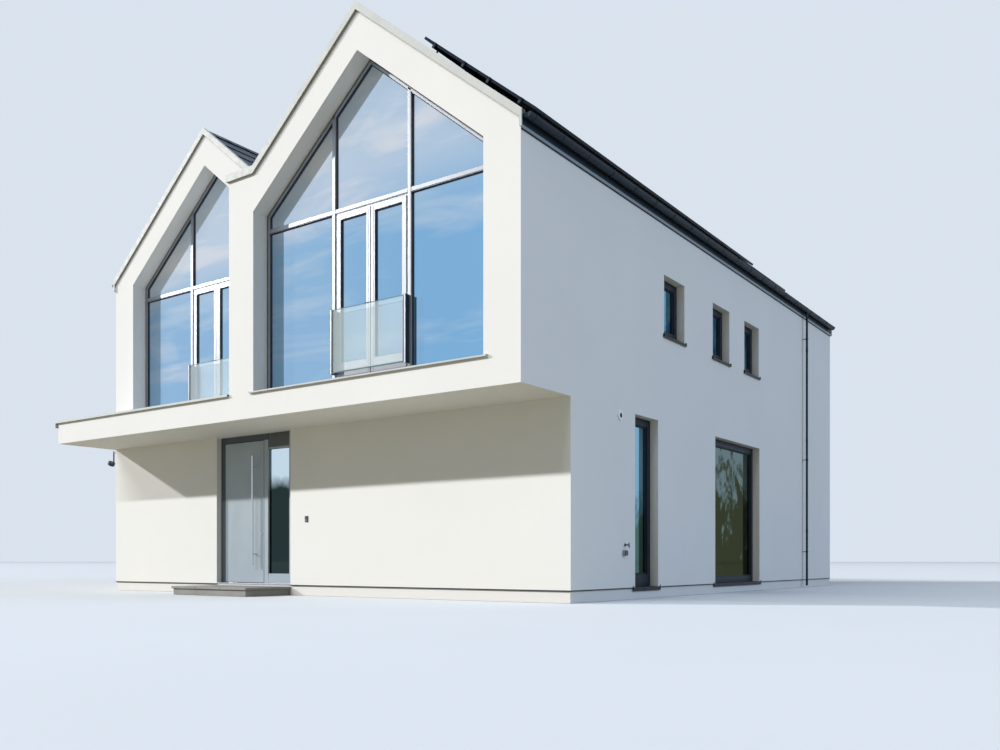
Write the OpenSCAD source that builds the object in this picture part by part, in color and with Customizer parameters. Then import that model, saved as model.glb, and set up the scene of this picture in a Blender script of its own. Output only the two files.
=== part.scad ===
// Detached two-storey house with twin gables, a projecting glazed bay and a porch canopy.
// Units are millimetres. +Z is up, the entrance front faces -Y and +X is to the right
// of someone facing the front. The origin is the centre of the ground floor's outline,
// on the level ground that the house rests on.

/* [House] */
// Overall width of the house over the side walls
house_w = 10600; // [9600:50:12000]
// Depth of the ground floor from the entrance wall to the rear wall
house_l = 12000; // [11000:50:14000]
// How far the upper bay and the canopy project past the entrance wall
overhang = 1200; // [900:50:1500]
// Thickness of the outer walls
wall_t = 400; // [320:10:460]
// Height of the plinth and of the ground floor above the ground
plinth_h = 170; // [120:10:240]
// How far the plinth stands back behind the render
plinth_back = 15; // [5:5:40]
// Height of the porch soffit above the ground
soffit_z = 2800; // [2650:10:3000]
// Thickness of the first floor and canopy slab
floor_t = 400; // [320:10:460]

/* [Roof] */
// Height of the two ridges above the ground
ridge_z = 8500; // [8100:20:9000]
// Height of the outer eaves above the ground
eave_z = 6220; // [6000:20:6500]
// How far each gable's outline reaches past the middle of the house
gable_reach = 300; // [240:10:400]
// Vertical thickness of the roof slabs
roof_t = 190; // [150:10:260]
// Vertical thickness of the roof covering
cover_t = 30; // [20:5:40]
// Clearance between layers that lie on each other on the slopes
lay_gap = 0.3; // [0.2:0.1:1]
// Open joint between the roof slabs at the ridges and in the valley
slab_joint = 4; // [2:1:10]
// How far the covering reaches past the eaves, over the gutters
cover_over = 50; // [30:5:70]
// Width of the valley lining on each side of the valley
valley_w = 150; // [100:10:250]
// Width of the ridge caps on each side of the ridge
ridge_cap_w = 140; // [100:10:200]

/* [Flashings] */
// Vertical height of the verge flashing's face
flash_h = 120; // [80:5:160]
// How far the flashings stand out from the wall
flash_out = 40; // [25:5:60]
// Thickness of the flashing's folded face
flash_face = 20; // [10:2:24]
// Thickness of the cap over the level wall heads
flash_cap = 20; // [10:2:28]
// How far the verge flashings reach over the wall, up to the covering
verge_w = 40; // [20:5:80]
// Height of the leg that turns down at the eaves
flash_leg_h = 250; // [180:10:300]
// Width of the leg that turns down at the eaves
flash_leg_w = 35; // [25:5:60]
// Face height of the canopy flashing along the front edge
canopy_flash_h = 35; // [30:5:60]
// Face height of the canopy flashing along the left edge
canopy_side_h = 120; // [80:5:160]
// Width of the canopy edge flashing on top
canopy_flash_w = 180; // [120:10:260]

/* [Gable glazing] */
// Width of the wall left beside each gable opening
jamb_w = 580; // [480:10:700]
// Width of the wall left between the left gable's opening and the bay
inner_jamb_w = 80; // [60:5:150]
// Height of the gable opening's jamb above the ground
jamb_top_z = 6010; // [5850:10:6150]
// How far the glazing stands back behind the wall face
glaze_back = 270; // [220:5:290]
// Depth of the glazing bars on each side of the glass
bar_d = 40; // [30:5:50]
// Thickness of a glass unit
glass_t = 30; // [24:2:36]
// Width of the outer glazing frame
rim_w = 60; // [45:5:80]
// Width of the mullions and of the transom
mullion_w = 70; // [50:5:90]
// Distance from the gable's axis to each mullion's centre
mullion_x = 740; // [650:10:850]
// Height of the transom's underside above the ground
transom_z = 5720; // [5500:10:5850]
// Width of the casement door's outer stiles
stile_w = 105; // [80:5:130]
// Half the width of the pair of meeting stiles
meeting_w = 98; // [70:2:110]
// Height of the casement doors' bottom rails above the sill
door_rail_h = 250; // [180:10:300]
// Height of the casement doors' top rails
top_rail_h = 110; // [80:5:140]

/* [Balustrades] */
// Height of the balustrade's lower edge above the first floor
rail_low = 150; // [100:10:200]
// Height of the balustrade's upper edge above the first floor
rail_high = 1080; // [950:10:1150]
// Thickness of the balustrade glass
rail_glass_t = 14; // [10:2:20]
// Gap between the balustrade glass and the glazing bars
rail_gap = 62; // [50:2:90]
// Width of the balustrade's side profiles
rail_side_w = 32; // [24:2:40]

/* [Side windows] */
// Depth of the window reveals
reveal = 130; // [90:5:180]
// Width of the fixed frame with its sash
sash_w = 120; // [80:5:140]
// Height of the bottom rail of the narrow ground-floor windows
slim_rail_h = 200; // [140:10:240]
// Height of the bottom rail of the wide ground-floor windows
wide_rail_h = 120; // [100:10:240]
// Height of the bottom rail of the upper windows
upper_rail_h = 150; // [100:10:200]
// Height of the upper windows' sill above the ground
upper_sill_z = 4180; // [4000:10:4300]
// Height of the upper windows
upper_win_h = 980; // [800:10:1200]
// Width of the upper windows
upper_win_w = 780; // [650:10:850]
// Distance from the entrance wall to the centres of the upper windows
upper_win_y = [3280, 5260, 6790];
// Width of the narrow ground-floor window
slim_win_w = 792; // [700:10:900]
// Distance from the entrance wall to the narrow ground-floor window's centre
slim_win_y = 2281; // [2100:10:2500]
// Width of the wide ground-floor window
wide_win_w = 2236; // [1900:10:2400]
// Distance from the entrance wall to the wide ground-floor window's centre
wide_win_y = 6102; // [5700:10:6500]
// Width of the windows in the rear wall
rear_win_w = 1800; // [1400:10:2200]
// How far the upper sills stand out from the wall
sill_out = 30; // [20:5:70]
// How far an upper sill runs past the opening on each side
sill_past = 36; // [20:2:100]
// Height of an upper sill's front edge
sill_h = 40; // [30:5:70]
// How far the ground-floor sills stand out from the wall
low_sill_out = 12; // [8:2:50]
// How far a ground-floor sill runs past the opening on each side
low_sill_past = 70; // [40:5:100]
// Height of a ground-floor sill's front edge
low_sill_h = 62; // [45:5:75]

/* [Entrance] */
// Distance from the right-hand side wall to the door opening
door_from_right = 5510; // [5300:10:5700]
// Width of the door opening with its sidelight
door_open_w = 1940; // [1800:10:2100]
// How far the entrance screen stands back behind the wall face
door_back = 100; // [60:5:150]
// Width of the frame on the hinge side
hinge_jamb_w = 118; // [90:2:140]
// Width of the frame beside the sidelight
side_jamb_w = 141; // [100:2:160]
// Width of the post between the door and the sidelight
post_w = 105; // [80:5:130]
// Height of the frame over the door
head_h = 110; // [80:5:150]
// Width of the sidelight's glass
sidelight_w = 533; // [450:5:600]
// Height of the sidelight's lower edge above the ground
sidelight_low = 328; // [280:4:400]
// Height of the sidelight's upper edge above the ground
sidelight_high = 2553; // [2400:5:2600]
// Height of the threshold over the ground floor
threshold_h = 20; // [10:2:30]
// Thickness of the door leaf
leaf_t = 80; // [60:5:95]
// Working gap around the door leaf
leaf_gap = 10; // [9:1:14]
// Radius of the hinge barrels
barrel_r = 9; // [7:0.5:10]
// Distance from the leaf's free edge to the pull bar's axis
pull_inset = 205; // [120:5:260]
// Diameter of the pull bar
pull_d = 34; // [25:1:40]
// Distance from the leaf's face to the pull bar's axis
pull_out = 78; // [60:2:85]
// Height of the pull bar's lower end above the ground
pull_low = 500; // [400:10:700]
// Height of the pull bar's upper end above the ground
pull_high = 2420; // [2000:10:2500]

/* [Landing] */
// Depth of the landing in front of the entrance
landing_l = 950; // [700:10:1100]
// Height of the landing above the ground
landing_h = 145; // [100:5:165]
// Thickness of the landing's tread slab
tread_t = 40; // [30:5:60]
// How far the tread runs past the riser
tread_nose = 25; // [10:5:40]

/* [Rainwater] */
// Outer radius of the half-round gutters
gutter_r = 62; // [50:1:75]
// Wall thickness of the gutters
gutter_t = 5; // [4:1:8]
// Gap between the gutters' back rims and the covering above them
gutter_clear = 2; // [1:1:6]
// Thickness of the gutter brackets and the pipe clips
strap_t = 5; // [4:1:8]
// Width of the gutter brackets and the pipe clips
strap_w = 30; // [20:2:40]
// Clearance of the brackets and clips around the gutters and pipes
strap_gap = 0.3; // [0.2:0.1:1]
// Largest distance between two gutter brackets
bracket_pitch = 700; // [500:50:900]
// Distance of the first and last brackets from a gutter's end or outlet
bracket_end = 150; // [100:10:250]
// Height of the fascia under the covering
fascia_h = 195; // [160:5:240]
// Thickness of the fascia
fascia_t = 20; // [14:2:28]
// Diameter of the downpipes
pipe_d = 50; // [46:2:90]
// Distance from the entrance wall to the downpipes
pipe_y = 9950; // [9500:50:10800]
// Height of the downpipes' lower ends above the ground
pipe_foot_z = 40; // [20:5:80]

/* [Solar array] */
// Length of a panel along the eaves
panel_l = 1530; // [1500:10:1800]
// Height of a panel up the slope
panel_w = 1160; // [950:10:1200]
// Thickness of a panel
panel_t = 38; // [30:2:45]
// Gap between neighbouring panels
panel_gap = 20; // [14:2:30]
// How many panels fewer the lower row has
low_row_short = 3; // [0:1:4]
// Clear height under the panels, square to the slope
panel_lift = 95; // [60:5:120]
// Distance from the front plane to the first panel
panel_front = 300; // [200:10:700]
// Distance up the slope from the eaves to the lowest panel
panel_low = 60; // [40:10:200]
// Distance from the rear plane to the upper rails' ends
rail_rear = 400; // [300:10:600]
// Side length of the rails under the panels
rail_w = 40; // [30:2:50]
// How far the rails reach past the front panels
rail_past = 30; // [10:5:60]
// Width of the roof hooks under the rails
hook_w = 30; // [20:2:40]
// Distance of the first and last roof hooks from a row's ends
hook_end = 80; // [60:5:200]
// Largest distance between two roof hooks
hook_pitch = 950; // [700:50:1200]

/* [Fittings] */
// Distance from the entrance wall to the round vent's axis
vent_y = 1400; // [1200:20:1600]
// Distance from the soffit level down to the round vent's axis
vent_drop = 84; // [80:2:160]
// Radius of the round vent
vent_r = 70; // [50:2:76]
// Depth of the round vent
vent_t = 22; // [15:1:35]
// Distance from the entrance wall to the outdoor socket's middle
socket_y = 1527; // [1450:1:1650]
// Height of the outdoor socket's middle above the ground
socket_z = 693; // [500:1:900]
// Side length of the outdoor socket
socket_w = 84; // [70:2:100]
// Depth of the outdoor socket
socket_t = 55; // [35:5:70]
// Distance from the outdoor socket's middle up to the tap's axis
tap_rise = 120; // [110:5:300]
// Length of the garden tap
tap_l = 70; // [50:5:100]
// Distance from the door opening to the doorbell's middle, along the wall
bell_from_door = 397; // [100:1:500]
// Height of the doorbell's middle above the ground
bell_z = 1275; // [1100:5:1500]
// Width of the doorbell
bell_w = 70; // [50:5:90]
// Height of the doorbell
bell_h = 100; // [80:5:150]
// Distance from the entrance wall to the side lamp's axis
lamp_y = 50; // [46:2:500]
// Distance from the soffit level down to the side lamp's plate
lamp_drop = 10; // [5:5:100]
// How far the side lamp's stem stands out from the wall
lamp_reach = 155; // [100:5:200]
// Length of the side lamp's stem
lamp_stem = 280; // [200:10:320]
// Radius of the side lamp's head
lamp_r = 68; // [50:1:80]
// Length of the side lamp's head
lamp_l = 70; // [50:5:100]

/* [View] */
// Sub-part to show

/* [Hidden] */

$fn = 48;
eps = 1;

// Faces of the walls
right_x = house_w / 2;
left_x = -house_w / 2;
entry_y = -house_l / 2;
rear_y = house_l / 2;
bay_y = entry_y - overhang;
upper_z = soffit_z + floor_t;

// Gables, valley and shoulder
gable_w = house_w / 2 + gable_reach;
slope = (ridge_z - eave_z) / (gable_w / 2);
slope_deg = atan(slope);
slant = sqrt(1 + slope * slope);
right_axis = right_x - gable_w / 2;
left_axis = left_x + gable_w / 2;
flank_x = -gable_reach;
valley_x = 0;
shoulder_x = gable_reach;
shoulder_z = ridge_z - slope * (right_axis - shoulder_x);
left_flank_z = ridge_z - slope * (flank_x - left_axis);
valley_z = ridge_z - slope * (right_axis - valley_x);

// Levels of the roof layers below the verge line
cover_top = 30;
slab_top = cover_top + cover_t;
slab_under = slab_top + roof_t;

// Gable openings
open_hw = gable_w / 2 - jamb_w;
open_apex = jamb_top_z + slope * open_hw;
open_end_x = min(left_axis + open_hw, flank_x - inner_jamb_w);

// Panels in the lower and the upper row
full_row = floor((house_l + overhang - panel_front - rail_rear + panel_gap)
  / (panel_l + panel_gap));
row_count = [full_row - low_row_short, full_row];

// Gutters and downpipes
gutter_x = right_x + fascia_t + strap_t + strap_gap + gutter_r;
gutter_z = eave_z - slab_top - gutter_clear
  - slope * (fascia_t + strap_t + strap_gap + gutter_t);

// Entrance
door_x1 = right_x - door_from_right;
door_x0 = door_x1 - door_open_w;
screen_y = entry_y + door_back;
leaf_x0 = door_x0 + hinge_jamb_w;
light_x1 = door_x1 - side_jamb_w;
light_x0 = light_x1 - sidelight_w;
leaf_x1 = light_x0 - post_w;
leaf_z0 = plinth_h + threshold_h;
leaf_z1 = soffit_z - head_h;
hinge_gap = 5;
hinge_x = leaf_x0 + hinge_gap / 2;
hinge_y = screen_y + leaf_t + hinge_gap + barrel_r;
hinge_z = [450, 1400, 2350];
hinge_plate_w = 60;
hinge_plate_t = 6;
knuckle_h = 40;
barrel_h = 80;
pin_r = 4;
pin_play = 0.1;

// Extrudes a profile drawn in X and Z along Y, from y0 to y1
module along_y(y0, y1) {
  translate([0, y1, 0]) rotate([90, 0, 0]) linear_extrude(height = y1 - y0) children();
}

// Box given by its two corners
module box(a, b) {
  translate(a) cube([b[0] - a[0], b[1] - a[1], b[2] - a[2]]);
}

// Gable-shaped profile: half width hw, base z0 and apex z1
module gable_2d(axis, hw, z0, z1) {
  polygon([
    [axis - hw, z0], [axis + hw, z0], [axis + hw, z1 - slope * hw],
    [axis, z1], [axis - hw, z1 - slope * hw]
  ]);
}

// Keeps what lies left of x1
module up_to(x1) {
  intersection() {
    children();
    translate([left_x, 0]) square([x1 - left_x, ridge_z]);
  }
}

// Sloping band of a roof layer between x0 and x1, from depth a to depth b below the verge line
module band_2d(axis, x0, x1, a, b) {
  za = ridge_z - slope * abs(x0 - axis);
  zb = ridge_z - slope * abs(x1 - axis);
  polygon([[x0, za - b], [x1, zb - b], [x1, zb - a], [x0, za - a]]);
}

// Ground and walls
module base_slab() {
  color("#e2e1dc")
    box([left_x + plinth_back, entry_y + plinth_back, 0],
        [right_x - plinth_back, rear_y - plinth_back, plinth_h]);
}

module landing() {
  color("#9a9c9b") {
    box([door_x0 + tread_nose, entry_y - landing_l + tread_nose, 0],
        [door_x1 - tread_nose, entry_y + plinth_back, landing_h - tread_t + eps]);
    box([door_x0, entry_y - landing_l, landing_h - tread_t],
        [door_x1, entry_y + plinth_back, landing_h]);
  }
}

module front_wall_left() {
  color("#f1f1ee")
    box([left_x, entry_y, plinth_h], [door_x0, entry_y + wall_t, soffit_z]);
}

module front_wall_right() {
  color("#f1f1ee")
    box([door_x1, entry_y, plinth_h], [right_x, entry_y + wall_t, soffit_z]);
}

// Side wall of the ground floor, with two openings from floor to ceiling
module side_wall_ground(x0) {
  y0 = entry_y + wall_t;
  y1 = rear_y - wall_t;
  slim_y = entry_y + slim_win_y;
  wide_y = entry_y + wide_win_y;
  box([x0, y0, plinth_h], [x0 + wall_t, slim_y - slim_win_w / 2, soffit_z]);
  box([x0, slim_y + slim_win_w / 2, plinth_h], [x0 + wall_t, wide_y - wide_win_w / 2, soffit_z]);
  box([x0, wide_y + wide_win_w / 2, plinth_h], [x0 + wall_t, y1, soffit_z]);
}

module right_wall_ground() {
  color("#f1f1ee") side_wall_ground(right_x - wall_t);
}

module left_wall_ground() {
  color("#f1f1ee") side_wall_ground(left_x);
}

module rear_wall_ground() {
  hw = rear_win_w / 2;
  color("#f1f1ee") {
    box([left_x, rear_y - wall_t, plinth_h], [left_axis - hw, rear_y, soffit_z]);
    box([left_axis + hw, rear_y - wall_t, plinth_h], [right_axis - hw, rear_y, soffit_z]);
    box([right_axis + hw, rear_y - wall_t, plinth_h], [right_x, rear_y, soffit_z]);
  }
}

module first_floor() {
  color("#efeeea")
    box([left_x, bay_y, soffit_z], [right_x, rear_y, upper_z]);
}

// Upper walls
module right_gable_frame() {
  color("#f1f1ee")
    along_y(bay_y, bay_y + wall_t) difference() {
      polygon([
        [flank_x, upper_z], [right_x, upper_z], [right_x, eave_z - slab_top],
        [right_axis, ridge_z - slab_top], [shoulder_x, shoulder_z - slab_top],
        [shoulder_x, shoulder_z - flash_cap], [flank_x, shoulder_z - flash_cap]
      ]);
      translate([0, -eps]) gable_2d(right_axis, open_hw, upper_z, open_apex + eps);
    }
}

module left_gable_wall() {
  color("#f1f1ee")
    along_y(entry_y, entry_y + wall_t) difference() {
      polygon([
        [left_x, upper_z], [flank_x, upper_z], [flank_x, left_flank_z - slab_top],
        [left_axis, ridge_z - slab_top], [left_x, eave_z - slab_top]
      ]);
      translate([0, -eps]) up_to(open_end_x)
        gable_2d(left_axis, open_hw, upper_z, open_apex + eps);
    }
}

module bay_cheek() {
  color("#f1f1ee")
    box([flank_x, bay_y + wall_t, upper_z], [valley_x, entry_y + wall_t, shoulder_z - flash_cap]);
}

// Profile of a side wall of the upper floor, its top following the roof slab
module side_wall_2d() {
  x0 = right_x - wall_t;
  z1 = eave_z - slab_under - lay_gap;
  polygon([[x0, upper_z], [right_x, upper_z], [right_x, z1], [x0, z1 + slope * wall_t]]);
}

module upper_window_cuts(x0) {
  for (y = upper_win_y) {
    yc = entry_y + y;
    box([x0 - eps, yc - upper_win_w / 2, upper_sill_z],
        [x0 + wall_t + eps, yc + upper_win_w / 2, upper_sill_z + upper_win_h]);
  }
}

module right_wall_upper() {
  color("#f1f1ee") difference() {
    along_y(bay_y + wall_t, rear_y - wall_t) side_wall_2d();
    upper_window_cuts(right_x - wall_t);
  }
}

module left_wall_upper() {
  color("#f1f1ee") difference() {
    along_y(entry_y + wall_t, rear_y - wall_t) mirror([1, 0]) side_wall_2d();
    upper_window_cuts(left_x);
  }
}

module rear_gable_wall() {
  color("#f1f1ee") difference() {
    along_y(rear_y - wall_t, rear_y) polygon([
      [left_x, upper_z], [right_x, upper_z], [right_x, eave_z - slab_top],
      [right_axis, ridge_z - slab_top], [valley_x, valley_z - slab_top],
      [left_axis, ridge_z - slab_top], [left_x, eave_z - slab_top]
    ]);
    for (axis = [left_axis, right_axis])
      box([axis - rear_win_w / 2, rear_y - wall_t - eps, upper_sill_z],
          [axis + rear_win_w / 2, rear_y + eps, upper_sill_z + upper_win_h]);
  }
}

// Roof
module roof_slabs() {
  y_bay = bay_y + wall_t;
  y_entry = entry_y + wall_t;
  y_rear = rear_y - wall_t;
  half = slab_joint / 2;
  color("#4a4d52") {
    along_y(y_bay, y_rear)
      band_2d(right_axis, right_axis + half, right_x, slab_top, slab_under);
    along_y(y_bay, y_rear)
      band_2d(right_axis, valley_x + half, right_axis - half, slab_top, slab_under);
    along_y(y_entry, y_rear)
      band_2d(left_axis, left_axis + half, valley_x - half, slab_top, slab_under);
    along_y(y_entry, y_rear)
      band_2d(left_axis, left_x, left_axis - half, slab_top, slab_under);
  }
}

module roof_covering() {
  y_right = bay_y + verge_w;
  y_left = entry_y + verge_w;
  y_rear = rear_y - verge_w;
  peak = slab_joint / 2;
  under = slab_top - lay_gap;
  color("#2f3338") {
    along_y(y_right, y_rear)
      band_2d(right_axis, right_axis + peak, right_x + cover_over, cover_top, under);
    difference() {
      along_y(y_right, y_rear)
        band_2d(right_axis, valley_x + valley_w, right_axis - peak, cover_top, under);
      box([valley_x, bay_y, upper_z], [shoulder_x, bay_y + wall_t, ridge_z]);
    }
    difference() {
      along_y(y_left, y_rear)
        band_2d(left_axis, left_axis + peak, valley_x - valley_w, cover_top, under);
      box([flank_x, entry_y, upper_z], [valley_x, entry_y + wall_t, ridge_z]);
    }
    along_y(y_left, y_rear)
      band_2d(left_axis, left_x - cover_over, left_axis - peak, cover_top, under);
  }
}
module ridge_cap_2d(axis) {
  drop = slope * ridge_cap_w;
  low = ridge_z - cover_top + lay_gap;
  cap = 18;
  polygon([
    [axis - ridge_cap_w, low - drop], [axis, low], [axis + ridge_cap_w, low - drop],
    [axis + ridge_cap_w, low - drop + cap], [axis, low + cap],
    [axis - ridge_cap_w, low - drop + cap]
  ]);
}

module ridge_caps() {
  color("#2f3338") {
    along_y(bay_y + verge_w, rear_y - verge_w) ridge_cap_2d(right_axis);
    along_y(entry_y + verge_w, rear_y - verge_w) ridge_cap_2d(left_axis);
  }
}

module valley_lining() {
  sheet = 12;
  low = valley_z - slab_top + lay_gap;
  rise = slope * valley_w;
  color("#3a3e43") {
    along_y(entry_y + wall_t, rear_y - verge_w) polygon([
      [-valley_w, low + rise], [valley_x, low], [valley_w, low + rise],
      [valley_w, low + rise + sheet], [valley_x, low + sheet], [-valley_w, low + rise + sheet]
    ]);
    along_y(bay_y + wall_t, entry_y + wall_t + eps) polygon([
      [valley_x, low], [valley_w, low + rise], [valley_w, low + rise + sheet],
      [valley_x, low + sheet]
    ]);
  }
}

// Flashing face under the verge line from x0 to x1
module face_2d(axis, x0, x1, h) {
  band_2d(axis, x0, x1, 0, h);
}

module right_verge() {
  y0 = bay_y - flash_out;
  end_x = right_x + flash_leg_w;
  color("#e4e6e7") {
    along_y(y0, y0 + flash_face) {
      face_2d(right_axis, shoulder_x, right_axis, flash_h);
      face_2d(right_axis, right_axis, end_x, flash_h);
      polygon([
        [flank_x - flash_leg_w, shoulder_z - flash_h], [shoulder_x, shoulder_z - flash_h],
        [shoulder_x, shoulder_z], [flank_x - flash_leg_w, shoulder_z]
      ]);
      polygon([
        [right_x, eave_z - flash_leg_h], [end_x, eave_z - flash_leg_h],
        [end_x, eave_z - slope * flash_leg_w], [right_x, eave_z]
      ]);
    }
    along_y(y0, bay_y + verge_w) {
      face_2d(right_axis, shoulder_x, right_axis, flash_cap);
      face_2d(right_axis, right_axis, end_x, flash_cap);
    }
    along_y(bay_y, bay_y + verge_w) {
      face_2d(right_axis, shoulder_x, right_axis, slab_top - lay_gap);
      face_2d(right_axis, right_axis, right_x, slab_top - lay_gap);
    }
    box([flank_x - flash_leg_w, y0, shoulder_z - flash_cap],
        [shoulder_x, bay_y + wall_t + flash_cap, shoulder_z]);
    box([flank_x - flash_leg_w, y0, shoulder_z - flash_cap],
        [valley_x + flash_cap, entry_y - flash_out - hinge_gap, shoulder_z]);
    box([flank_x, entry_y - flash_out - 2 * hinge_gap, shoulder_z - flash_cap],
        [valley_x + flash_cap, entry_y + wall_t + flash_cap, shoulder_z]);
    box([flank_x - flash_leg_w, y0, shoulder_z - flash_h],
        [flank_x - flash_leg_w + flash_face, entry_y - flash_out - hinge_gap, shoulder_z]);
  }
}

module left_verge() {
  y0 = entry_y - flash_out;
  end_x = left_x - flash_leg_w;
  color("#e4e6e7") {
    along_y(y0, y0 + flash_face) {
      face_2d(left_axis, end_x, left_axis, flash_h);
      face_2d(left_axis, left_axis, flank_x, flash_h);
      polygon([
        [end_x, eave_z - flash_leg_h], [left_x, eave_z - flash_leg_h], [left_x, eave_z],
        [end_x, eave_z - slope * flash_leg_w]
      ]);
    }
    along_y(y0, entry_y + verge_w) {
      face_2d(left_axis, end_x, left_axis, flash_cap);
      face_2d(left_axis, left_axis, flank_x, flash_cap);
    }
    along_y(entry_y, entry_y + verge_w) {
      face_2d(left_axis, left_x, left_axis, slab_top - lay_gap);
      face_2d(left_axis, left_axis, flank_x, slab_top - lay_gap);
    }
  }
}

module rear_verge() {
  y1 = rear_y + flash_out;
  color("#e4e6e7") {
    for (side = [-1, 1]) scale([side, 1, 1]) {
      along_y(y1 - flash_face, y1) {
        face_2d(right_axis, valley_x, right_axis, flash_h);
        face_2d(right_axis, right_axis, right_x + flash_leg_w, flash_h);
        polygon([
          [right_x, eave_z - flash_leg_h], [right_x + flash_leg_w, eave_z - flash_leg_h],
          [right_x + flash_leg_w, eave_z - slope * flash_leg_w], [right_x, eave_z]
        ]);
      }
      along_y(rear_y - verge_w, y1) {
        face_2d(right_axis, valley_x, right_axis, flash_cap);
        face_2d(right_axis, right_axis, right_x + flash_leg_w, flash_cap);
      }
      along_y(rear_y - verge_w, rear_y) {
        face_2d(right_axis, valley_x, right_axis, slab_top - lay_gap);
        face_2d(right_axis, right_axis, right_x, slab_top - lay_gap);
      }
    }
  }
}

module canopy_flashing() {
  x0 = left_x - flash_out;
  y0 = bay_y - flash_out;
  z1 = upper_z + flash_cap;
  color("#e4e6e7") {
    box([x0, y0, upper_z], [flank_x, y0 + flash_out + canopy_flash_w, z1]);
    box([x0, y0, z1 - canopy_flash_h], [flank_x, y0 + flash_face, z1]);
    box([x0, y0, upper_z], [x0 + flash_out + canopy_flash_w, entry_y, z1]);
    box([x0, y0, z1 - canopy_side_h], [x0 + flash_face, entry_y, z1]);
  }
}

// Glazing of one gable opening that ends at end_x
module gable_bars_2d(axis, end_x) {
  difference() {
    up_to(end_x) gable_2d(axis, open_hw, upper_z, open_apex);
    difference() {
      up_to(end_x - rim_w)
        gable_2d(axis, open_hw - rim_w, upper_z + rim_w, open_apex - rim_w * slant);
      for (s = [-1, 1])
        translate([axis + s * mullion_x - mullion_w / 2, upper_z])
          square([mullion_w, open_apex - upper_z]);
      translate([axis - open_hw, transom_z]) square([2 * open_hw, mullion_w]);
      translate([axis - mullion_x, upper_z]) square([2 * mullion_x, transom_z - upper_z]);
    }
    for (s = [-1, 1]) {
      inner = meeting_w;
      outer = mullion_x - mullion_w / 2 - stile_w;
      x0 = s > 0 ? axis + inner : axis - outer;
      translate([x0, upper_z + door_rail_h])
        square([outer - inner, transom_z - top_rail_h - upper_z - door_rail_h]);
    }
  }
}

module gable_glass() {
  color("#9fc3dc", 0.5) {
    along_y(bay_y + glaze_back + bar_d, bay_y + glaze_back + bar_d + glass_t)
      gable_2d(right_axis, open_hw, upper_z, open_apex);
    along_y(entry_y + glaze_back + bar_d, entry_y + glaze_back + bar_d + glass_t)
      up_to(open_end_x) gable_2d(left_axis, open_hw, upper_z, open_apex);
  }
}

module gable_bars() {
  color("#aeb4ba") for (g = [[right_axis, bay_y, right_x], [left_axis, entry_y, open_end_x]]) {
    y0 = g[1] + glaze_back;
    along_y(y0, y0 + bar_d) gable_bars_2d(g[0], g[2]);
    along_y(y0 + bar_d + glass_t, y0 + 2 * bar_d + glass_t) gable_bars_2d(g[0], g[2]);
  }
}

module gable_sills() {
  plate = 14;
  past = 70;
  drop = 16;
  lip = 4;
  color("#e4e6e7") {
    for (g = [[right_axis, bay_y, right_axis + open_hw], [left_axis, entry_y, open_end_x]])
      box([g[0] - open_hw, g[1] - flash_out, upper_z], [g[2], g[1] + glaze_back, upper_z + plate]);
    box([right_axis - open_hw - past, bay_y - flash_out, upper_z],
        [right_axis + open_hw + past, bay_y, upper_z + plate]);
    box([left_axis - open_hw - past, entry_y - flash_out, upper_z],
        [flank_x, entry_y, upper_z + plate]);
    box([right_axis - open_hw - past, bay_y - flash_out, upper_z - drop],
        [right_axis + open_hw + past, bay_y - flash_out + lip, upper_z + plate]);
  }
}

module balustrade_glass() {
  hw = mullion_x - mullion_w / 2;
  color("#b9d6d2", 0.5) for (g = [[right_axis, bay_y], [left_axis, entry_y]]) {
    y1 = g[1] + glaze_back - rail_gap;
    box([g[0] - hw, y1 - rail_glass_t, upper_z + rail_low], [g[0] + hw, y1, upper_z + rail_high]);
  }
}

module balustrade_fittings() {
  hw = mullion_x - mullion_w / 2;
  color("#5d646c") for (g = [[right_axis, bay_y], [left_axis, entry_y]]) {
    y1 = g[1] + glaze_back;
    y0 = y1 - rail_gap - rail_glass_t - 8;
    for (s = [0, 1]) {
      x0 = s > 0 ? g[0] + hw : g[0] - hw - rail_side_w;
      box([x0, y0, upper_z + rail_low - 20], [x0 + rail_side_w, y1, upper_z + rail_high + 10]);
    }
  }
}

// Window placed in a wall whose outer face is the plane y = 0 and whose outside is -Y:
// w wide, from z0 to z1, with a bottom rail of height low
module window_bars(w, z0, z1, low, leaves) {
  hw = w / 2;
  for (y = [reveal, reveal + bar_d + glass_t])
    along_y(y, y + bar_d) difference() {
      translate([-hw, z0]) square([w, z1 - z0]);
      translate([-hw + sash_w, z0 + low]) square([w - 2 * sash_w, z1 - z0 - low - sash_w]);
    }
  if (leaves > 1)
    for (y = [reveal, reveal + bar_d + glass_t])
      box([-sash_w / 2, y, z0 + low - eps], [sash_w / 2, y + bar_d, z1 - sash_w + eps]);
}

module window_pane(w, z0, z1) {
  box([-w / 2, reveal + bar_d, z0], [w / 2, reveal + bar_d + glass_t, z1]);
}

// Sill under a window w wide, standing out by out, running past by past, h high in front
module window_sill(w, z0, out, past, h) {
  plate = 12;
  ear_h = 22;
  ear_t = 8;
  box([-w / 2, -out, z0], [w / 2, reveal, z0 + plate]);
  box([-w / 2 - past, -out, z0 + plate - h], [w / 2 + past, 0, z0 + plate]);
  for (s = [-1, 1])
    translate([s * (w / 2 + past - ear_t / 2), 0, 0])
      box([-ear_t / 2, -out, z0 + plate - eps], [ear_t / 2, 0, z0 + plate + ear_h]);
}

module upper_sill(w) {
  window_sill(w, upper_sill_z, sill_out, sill_past, sill_h);
}

module low_sill(w) {
  window_sill(w, plinth_h, low_sill_out, low_sill_past, low_sill_h);
}

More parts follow.
